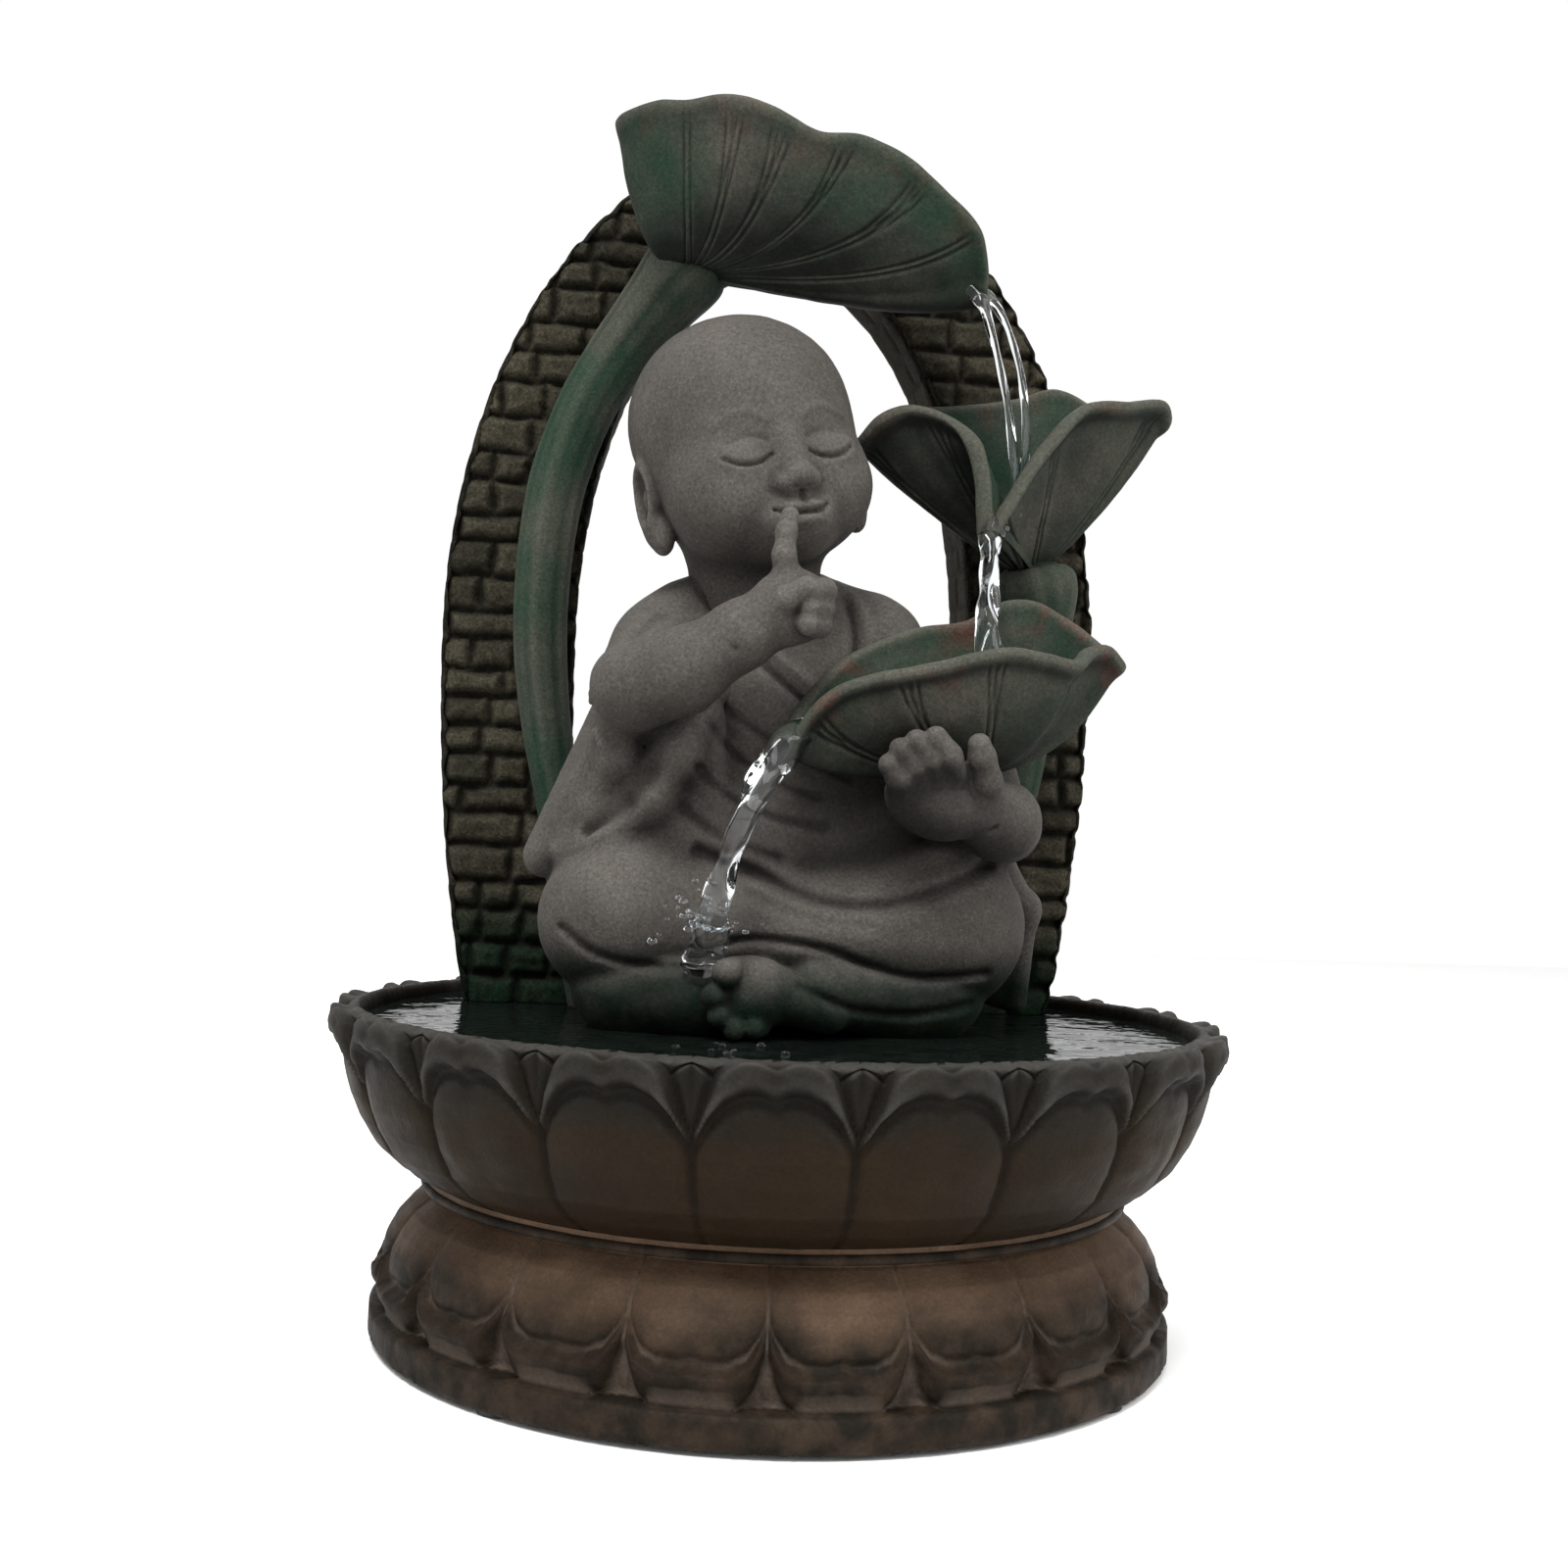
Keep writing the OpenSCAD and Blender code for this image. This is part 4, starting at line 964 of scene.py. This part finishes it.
def body_field(p):
    """Trunk, robe, legs and the foot that shows."""
    d = egg(p, (-2, 4, 122), (56, 34, 28))
    d = join(d, egg(p, (0, -9, 160), (42, 31, 36)), 10)
    d = join(d, egg(p, (-8, 0, 198), (43, 28, 34)), 12)
    d = join(d, limb(p, (-35, 3, 221), (26, 3, 222), 17, 16), 8)
    d = join(d, limb(p, (-34, 4, 228), (-12, 5, 238), 12, 14), 6)
    d = join(d, limb(p, (-12, 5, 238), (20, 4, 229), 14, 11), 6)
    # Upper arms in their sleeves
    d = join(d, limb(p, (-44, 0, 217), (-50, -26, 201), 15.5, 15), 6)
    d = join(d, limb(p, (28, 2, 220), (58, -10, 178), 15, 14.5), 7)
    d = join(d, limb(p, (58, -10, 178), (63, -24, 164), 14.5, 13), 5)
    # The hanging sleeve of the raised arm: two folds of cloth with a hollow between them
    d = join(d, plate(p, (-50, 4, 216), (-78, -6, 149), (-57, -22, 190), 5.5), 6)
    d = join(d, plate(p, (-50, 2, 212), (-77, -6, 149), (-28, -14, 150), 6.0), 5)
    d = join(d, plate(p, (-30, -30, 200), (-60, -24, 157), (-24, -28, 150), 4.5), 5)
    outer_fold = [(-57, -27, 196, 5.5), (-57, -26, 180, 5.4), (-63, -20, 165, 4.6), (-76, -11, 151, 3.4)]
    inner_fold = [(-28, -35, 202, 4.5), (-38, -34, 182, 5.6), (-46, -31, 168, 5.4), (-58, -26, 157.5, 4.4),
                  (-72, -17, 151, 3.4)]
    between = [(-48, -38, 188, 2.6), (-49, -37, 177, 3.4), (-55, -33, 167, 3.0), (-65, -25, 157, 1.6)]
    d = join(d, chain(p, outer_fold, 4), 5)
    d = join(d, chain(p, inner_fold, 4), 5)
    d = carve(d, chain(p, between, 3), 4)
    # The cloth under the other arm
    d = join(d, plate(p, (62, -16, 164), (81, -2, 136), (60, 8, 150), 4.0), 6)
    d = join(d, plate(p, (81, -2, 138), (79, 2, 106), (58, 12, 112), 4.0), 5)
    # Lap and legs
    d = join(d, egg(p, (4, -24, 128), (34, 20, 14)), 12)
    left = join(limb(p, (-12, -24, 126), (-51, -20, 131), 18, 24),
                egg(p, (-52, -18, 130), (27, 25, 25)), 6)
    left_shin = join(limb(p, (-50, -24, 111), (-30, -41, 109), 15, 12),
                     egg(p, (-47, -21, 110), (21, 20, 17)), 6)
    right = join(limb(p, (-2, -31, 129), (45, -19, 131), 18.5, 26),
                 egg(p, (46, -18, 131), (28, 26, 26)), 9)
    right_shin = join(limb(p, (41, -24, 112), (4, -43, 111), 16, 11),
                      egg(p, (38, -21, 110), (24, 21, 17)), 7)
    d = join(d, join(left, left_shin, 1.6), 5)
    d = join(d, join(right, right_shin, 1.6), 7)
    # The foot that shows, toes towards the front
    foot = join(egg(p, (-18, -50, 110), (11.5, 12, 12)), limb(p, (-12, -50, 112), (8, -46, 106), 9, 7), 4)
    toes = ((-24.5, -61, 117.5, 4.6), (-28, -60, 110.8, 3.9), (-26.2, -60, 105, 3.6),
            (-21.5, -60.5, 101.3, 3.4), (-16, -60, 101.5, 3.2))
    for x, y, z, r in toes:
        foot = join(foot, limb(p, (x + 3, y + 8, z), (x, y, z), r, r * 0.92), 1.0)
    d = join(d, foot, 1.6)
    # Folds of the robe, marked from the front as (x, z) lines with their width and depth
    flat = p * [1, 0, 1]
    ahead = ramp(-p[:, 1], 2, 12)
    folds = (
        ([(-33, 238), (-26, 226), (-14, 212), (2, 199), (16, 190)], 1.5, 1.9),
        ([(-29, 240), (-22, 229), (-10, 216), (6, 203), (20, 194)], 1.9, -1.5),
        ([(15, 236), (18, 224), (17, 212), (14, 204)], 1.4, 1.7),
        ([(19, 237), (23, 225), (22, 212)], 2.2, -1.0),
        ([(-26, 198), (-14, 190), (0, 182), (14, 176)], 1.6, 0.9),
        ([(-30, 191), (-20, 182), (-8, 174), (4, 170)], 1.5, 0.8),
        ([(-33, 178), (-22, 169), (-8, 163), (6, 161)], 1.6, 0.8),
        ([(-36, 165), (-24, 156), (-8, 151)], 1.8, 0.9),
        ([(-31, 152), (-17, 147.5), (2, 139), (18, 137), (34, 140), (60, 151)], 2.4, 2.4),
        ([(-16, 140), (0, 134), (20, 132)], 1.8, 0.8),
        ([(-71.6, 128), (-64, 122), (-55, 119), (-43, 117.5), (-33, 118)], 1.3, 1.5),
        ([(-26, 124), (-17, 126.5), (-7, 126.5), (8, 124), (20, 119.5), (36, 116), (58, 118)], 1.4, 2.0),
        ([(-2, 113.5), (14, 107), (34, 105), (54, 108)], 1.4, 1.5),
        ([(-52, 214), (-60, 203), (-64.5, 190)], 1.6, 1.1),
        ([(-44, 226), (-54, 216), (-60, 205)], 1.8, 1.0),
    )
    for line, width, depth in folds:
        d = crease(flat, d, [(x, 0, z) for x, z in line], width, depth * ahead)
    sleeve_hem = [(-36, -38, 213), (-50, -42, 213), (-63, -34, 207), (-67, -26, 194), (-62, -30, 184)]
    d = crease(p, d, sleeve_hem, 1.8, -1.6)
    return np.maximum(d, DECK_TOP - 0.5 - p[:, 2])


def head_field(world):
    """The head, with a plain, calm child's face. Local axes: -Y is the way it faces."""
    p = (world - HEAD_PLACE) @ HEAD_TURN
    m = np.stack([np.abs(p[:, 0]), p[:, 1], p[:, 2]], 1)
    flat = m * [1, 0, 1]
    ahead = ramp(-p[:, 1], 16, 24)
    d = egg(p, (0, 4, 9), (36, 38, 34))
    d = join(d, egg(p, (0, -5, -15), (32, 31, 28)), 14)
    d = join(d, egg(m, (15, -18, -19), (16, 16, 15)), 9)
    d = join(d, egg(p, (0, -25, -34), (11, 10, 8)), 8)
    # Closed eyes under soft brows
    d = carve(d, egg(m, (13.5, -47.5, -6.5), (10, 12, 7)), 6)
    d = join(d, egg(m, (13.5, -29.8, -9.4), (9.0, 6.2, 5.4)), 4)
    lid = [(6.2, 0, -10.2), (9.6, 0, -12.0), (13.6, 0, -12.6), (17.6, 0, -11.8), (20.8, 0, -9.8)]
    d = crease(flat, d, lid, 0.75, 1.2 * ahead)
    d = crease(flat, d, [(6.8, 0, -5.4), (10, 0, -4.0), (14, 0, -3.6), (18.4, 0, -4.8)], 0.9, 0.5 * ahead)
    d = crease(flat, d, [(5.6, 0, 1.2), (10, 0, 3.8), (15.5, 0, 4.2), (21.5, 0, 1.6)], 1.5, -0.55 * ahead)
    # Nose
    d = join(d, limb(p, (0, -34.0, -6), (0, -38.6, -17), 2.0, 3.8), 7)
    d = join(d, egg(p, (0, -39.8, -18.4), (4.4, 3.8, 3.4)), 3)
    d = join(d, egg(m, (4.2, -38.0, -19.4), (3.1, 3.4, 2.5)), 2)
    d = carve(d, egg(m, (2.1, -41.6, -21.9), (1.1, 1.6, 0.8)), 0.8)
    # Mouth
    d = join(d, egg(p, (0, -33.6, -29.5), (10.5, 6, 7)), 5)
    d = join(d, egg(m, (2.7, -38.0, -27.3), (4.2, 2.7, 1.9)), 1.4)
    d = join(d, egg(p, (0, -37.6, -31.4), (5.4, 3.0, 2.3)), 1.6)
    d = crease(flat, d, [(0, 0, -29.4), (3.6, 0, -29.3), (7.4, 0, -28.0), (8.6, 0, -27.2)], 0.65, 1.2 * ahead)
    d = crease(flat, d, [(0, 0, -22.6), (0, 0, -25.2)], 1.1, 0.5 * ahead)
    # Ears
    ear = egg(m, (34.5, 5, -13), (4.6, 9.5, 14), turned(z=22))
    ear = join(ear, egg(m, (33.5, 1, -25), (4, 5, 6.5)), 3)
    ear = carve(ear, egg(m, (38.9, 1, -12), (3.6, 5.5, 9), turned(z=22)), 1.6)
    ear = join(ear, egg(m, (35.0, 0, -14), (2.6, 2.6, 4.6)), 1.5)
    d = join(d, ear, 2.2)
    neck = limb(world, (-14, 4, 248), (-10, 4, 222), 21, 23)
    return join(d, neck, 8)


def raised_arm_field(p):
    """The forearm and the fist with one finger up."""
    d = chain(p, [(-50, -28, 202, 13), (-53, -40, 201, 12.4), (-40, -45, 205.5, 12.2), (-22, -49, 217.5, 9.6),
                  (-14, -51, 223, 8.6)], 5)
    # Back of the hand, curled fingers, thumb, and the finger that points up
    d = join(d, egg(p, (-8.5, -52, 226), (12, 9.5, 11.5), turned(y=-35)), 4)
    for k in range(3):
        z = 231 - 4.9 * k
        d = join(d, chain(p, [(-4, -52, z, 5.0), (0.6 - 0.6 * k, -57, z - 0.6, 4.0),
                              (-3 - 0.6 * k, -61.4, z - 1.2, 3.5)], 1), 1.5)
    d = join(d, chain(p, [(-15, -56, 222, 4.6), (-11, -60.6, 227, 4.0), (-5.5, -62.6, 230.5, 3.4)], 1), 1.4)
    d = join(d, chain(p, [(-9.5, -53, 233, 4.4), (-11.2, -54.5, 241, 3.5), (-10.6, -52.8, 248, 3.1),
                          (-9.4, -50.6, 253.5, 2.8)], 1.5), 2.0)
    d = crease(p, d, [(-25, -58, 212), (-22, -53, 222), (-18, -46, 227)], 1.1, 0.7)
    return crease(p, d, [(-13.5, -58, 243.5), (-11, -58.4, 243.7), (-8.6, -57.6, 243.5)], 0.8, 0.5)


def holding_hand_field(p):
    """The other forearm and the hand under the lower leaf."""
    d = chain(p, [(66, -24, 164, 12.5), (61, -40, 165, 11.5), (51, -52, 167, 9.6)], 5)
    d = join(d, egg(p, (35, -60, 169.5), (15, 8, 11), turned(y=20)), 6)
    tips = ((20.0, 180.5), (23.0, 185.0), (27.6, 187.6), (33.4, 188.8))
    roots = ((26.0, 171.5), (30.5, 173.5), (35.5, 175.5), (40.5, 177.0))
    for (x, z), (u, w) in zip(tips, roots):
        knuckle = (0.45 * x + 0.55 * u, -68.0, 0.45 * z + 0.55 * w + 0.4, 4.1)
        d = join(d, chain(p, [(u, -62, w, 4.6), knuckle, (x, -68.6, z - 0.8, 3.4)], 1.6), 1.4)
    thumb = [(49, -57, 167, 6.0), (50.6, -62, 176, 4.8), (48.2, -65, 183, 4.1), (47.0, -66, 186.5, 3.5)]
    d = join(d, chain(p, thumb, 1.2), 2.0)
    return crease(p, d, [(50, -62, 159), (55, -58, 164), (58, -48, 174)], 1.0, 0.9)


def build_figure():
    """Each part is skinned from its field, given patina by height, and darkened in its hollows with dirt and
    painted shade.
    """
    parts = (
        ("child_body", body_field, "figure_body", (-90, -70, 94), (92, 44, 244), 1.15),
        ("child_head", head_field, "figure_head", (-66, -60, 212), (32, 48, 334), 0.8),
        ("child_raised_arm", raised_arm_field, "raised_arm", (-72, -70, 182), (12, -10, 262), 0.75),
        ("child_holding_hand", holding_hand_field, "holding_hand", (12, -78, 144), (84, -6, 196), 0.75),
    )
    for name, field, node, low, high, step in parts:
        points, faces = skin(field, low, high, step)
        z = points[:, 2]
        normal = vertex_normals(points, faces)
        points = points + normal * (0.16 * noise(points, 5, 3))[:, None]
        down = ramp(-normal[:, 2], -0.1, 0.9)
        # Painted shade and highlight over dirt: broad hollows and faces that point down darker, faces that
        # point up lighter
        hollow = (0.4 * hollowness(points, faces, 10, 0.8) + 0.6 * hollowness(points, faces, 60, 4.0)
                  + 0.05 * down - 0.10 * ramp(normal[:, 2], 0.1, 0.9))
        # Painted shadow of the lower leaf, darkening the belly and the hand under it
        hollow = hollow + 0.40 * np.exp(-((points[:, 0] - 18) / 46) ** 2 - ((z - 168) / 23) ** 2)
        green = 1 - ramp(z + 8 * noise(points, 30) - 9 * down, DECK_TOP + 10, DECK_TOP + 32)
        green = np.clip(green + 0.12 * ramp(noise(points, 34, 2, 6.0), 0.15, 0.6), 0, 1)
        new_piece(name, points, faces, RESIN["figure"], "sculpture", [node],
                  (green, np.clip(hollow, 0, 1), 0 * z))


# ---- Water ----

def build_drops(name, drops, material, body):
    """Small closed balls, given as (x, y, z, radius), in one piece."""
    rise = np.linspace(0.15, math.pi - 0.15, 6)
    line = np.stack([0 * rise, 0 * rise, -np.cos(rise)], 1)
    ball, groups = sweep(line, np.sin(rise), 8)
    points = np.concatenate([np.array(drop[:3]) + drop[3] * ball * [1.3, 1, 0.9] for drop in drops])
    shift = np.arange(len(drops))[:, None, None] * len(ball)
    faces = [(group[None] + shift).reshape(-1, group.shape[1]) for group in groups]
    new_piece(name, points, faces, material, body)


def build_fill(name, centre, radii, level, material):
    """The water that stands in a leaf, as a rippled disc."""
    def disc(u, v):
        a = 2 * math.pi * v
        x, y = centre[0] + radii[0] * u * np.cos(a), centre[1] + radii[1] * u * np.sin(a)
        p = np.stack([x, y, 0 * x], -1).reshape(-1, 3)
        return x, y, level + 0.4 * noise(p, 8, 2).reshape(x.shape)
    points, faces = surface_grid(disc, 24, 72, wrap=True)
    new_piece(name, points, faces, material, "sculpture")


def build_water():
    """The pool, the streams between the leaves, the splash where they end, and what stands in the leaves."""
    pool = water_material("pool_water", (0.004, 0.006, 0.005), 0.86, 0.0, 1.14)
    flow = water_material("running_water", (0.95, 0.98, 1.0), 1.0, 1.0, 1.33)

    def surface(u, v):
        r, a = 131.0 * u, 2 * math.pi * v
        x, y = r * np.sin(a), -r * np.cos(a)
        p = np.stack([x, y, 0 * x], -1).reshape(-1, 3)
        calm = 0.35 * noise(p, 26, 3, 1.0) + 0.12 * noise(p, 7, 2, 3.0)
        ring = np.hypot(x + 22, y + 62)
        wave = 0.45 * np.sin(ring / 2.6) * np.exp(-ring / 26)
        return x, y, WATER_Z + calm.reshape(x.shape) * ramp(r, 0, 20) + wave
    points, faces = surface_grid(surface, int(110 / FINE), int(300 / FINE), wrap=True)
    new_piece("pool_water", points, faces[:, ::-1], pool, "basin")

    streams = (
        ("stream_top_a", [(50, -17, 337, 1.6), (54, -20, 333, 1.9), (57, -21, 325, 1.5),
                          (62, -19, 310, 1.3), (67, -14, 294, 1.2), (71, -8, 276, 1.6), (72, -6, 266, 2.0)]),
        ("stream_top_b", [(52, -14, 338, 1.6), (57, -17, 335, 1.7), (63, -18, 327, 1.3),
                          (69, -16, 312, 1.1), (73, -11, 294, 1.1), (74, -4, 272, 1.6)]),
        ("stream_middle", [(66, -6, 263, 3.2), (62, -15, 260, 3.6), (60, -20, 252, 3.6),
                           (59, -24, 238, 3.3), (58, -28, 222, 3.2), (57, -34, 206, 3.8)]),
        ("stream_lower", [(6, -50, 192, 3.0), (-6, -57, 187, 4.2), (-14, -61, 177, 4.4),
                          (-20, -63, 165, 4.0), (-25, -63, 152, 3.7), (-28, -61, 138, 3.9),
                          (-29.5, -56, 127, 4.6), (-30, -50, 119, 5.6)]),
    )
    for name, way in streams:
        line = spline(way, 120)
        points, faces = sweep(line[:, :3], line[:, 3], 20, lambda angle, s: (
            1 + 0.22 * np.sin(2 * angle + 9 * s) + 0.10 * np.sin(3 * angle - 21 * s) + 0.08 * np.sin(40 * s)))
        new_piece(name, points, faces, flow, "sculpture")

    splash = []
    for _ in range(46):
        side, high = RANDOM.normal(0, 7), abs(RANDOM.normal(0, 5))
        splash.append((-31 + side, -51 - RANDOM.uniform(0, 7), 130 + high - 0.02 * side ** 2,
                       RANDOM.uniform(0.5, 1.3)))
    build_drops("splash_drops", splash, flow, "sculpture")
    build_drops("pool_drops", [(RANDOM.normal(-26, 9), -64 - RANDOM.uniform(0, 22), WATER_Z + 0.2,
                                RANDOM.uniform(0.5, 1.1)) for _ in range(9)], flow, "basin")

    build_fill("top_leaf_water", (14, 3), (28, 11), 343, flow)
    build_fill("middle_leaf_water", (74, 6), (9, 11), 264, flow)
    build_fill("lower_leaf_water", (42, -44), (32, 13), 191, flow)


# ---- Scene ----

build_camera(azimuth=-8, distance=0.5724, height=0.157, pitch=1.79, yaw=0.12, roll=2.12, lens=40.27)
build_studio()
paint_cad_nodes()
build_pedestal()
build_bead()
build_basin()
build_arch()
build_leaf("top_leaf_shell", "top_leaf", 0.55, 0.25, **TOP_LEAF)
build_leaf("middle_leaf_shell", "middle_leaf", 0.4, 0.3, **MIDDLE_LEAF)
build_leaf("lower_leaf_shell", "lower_leaf", 0.35, 0.8, **LOWER_LEAF)
build_stem("stem_bar", "lotus_stem", STEM)
build_stem("stalk_bar", "middle_stalk", STALK)
build_figure()
build_water()
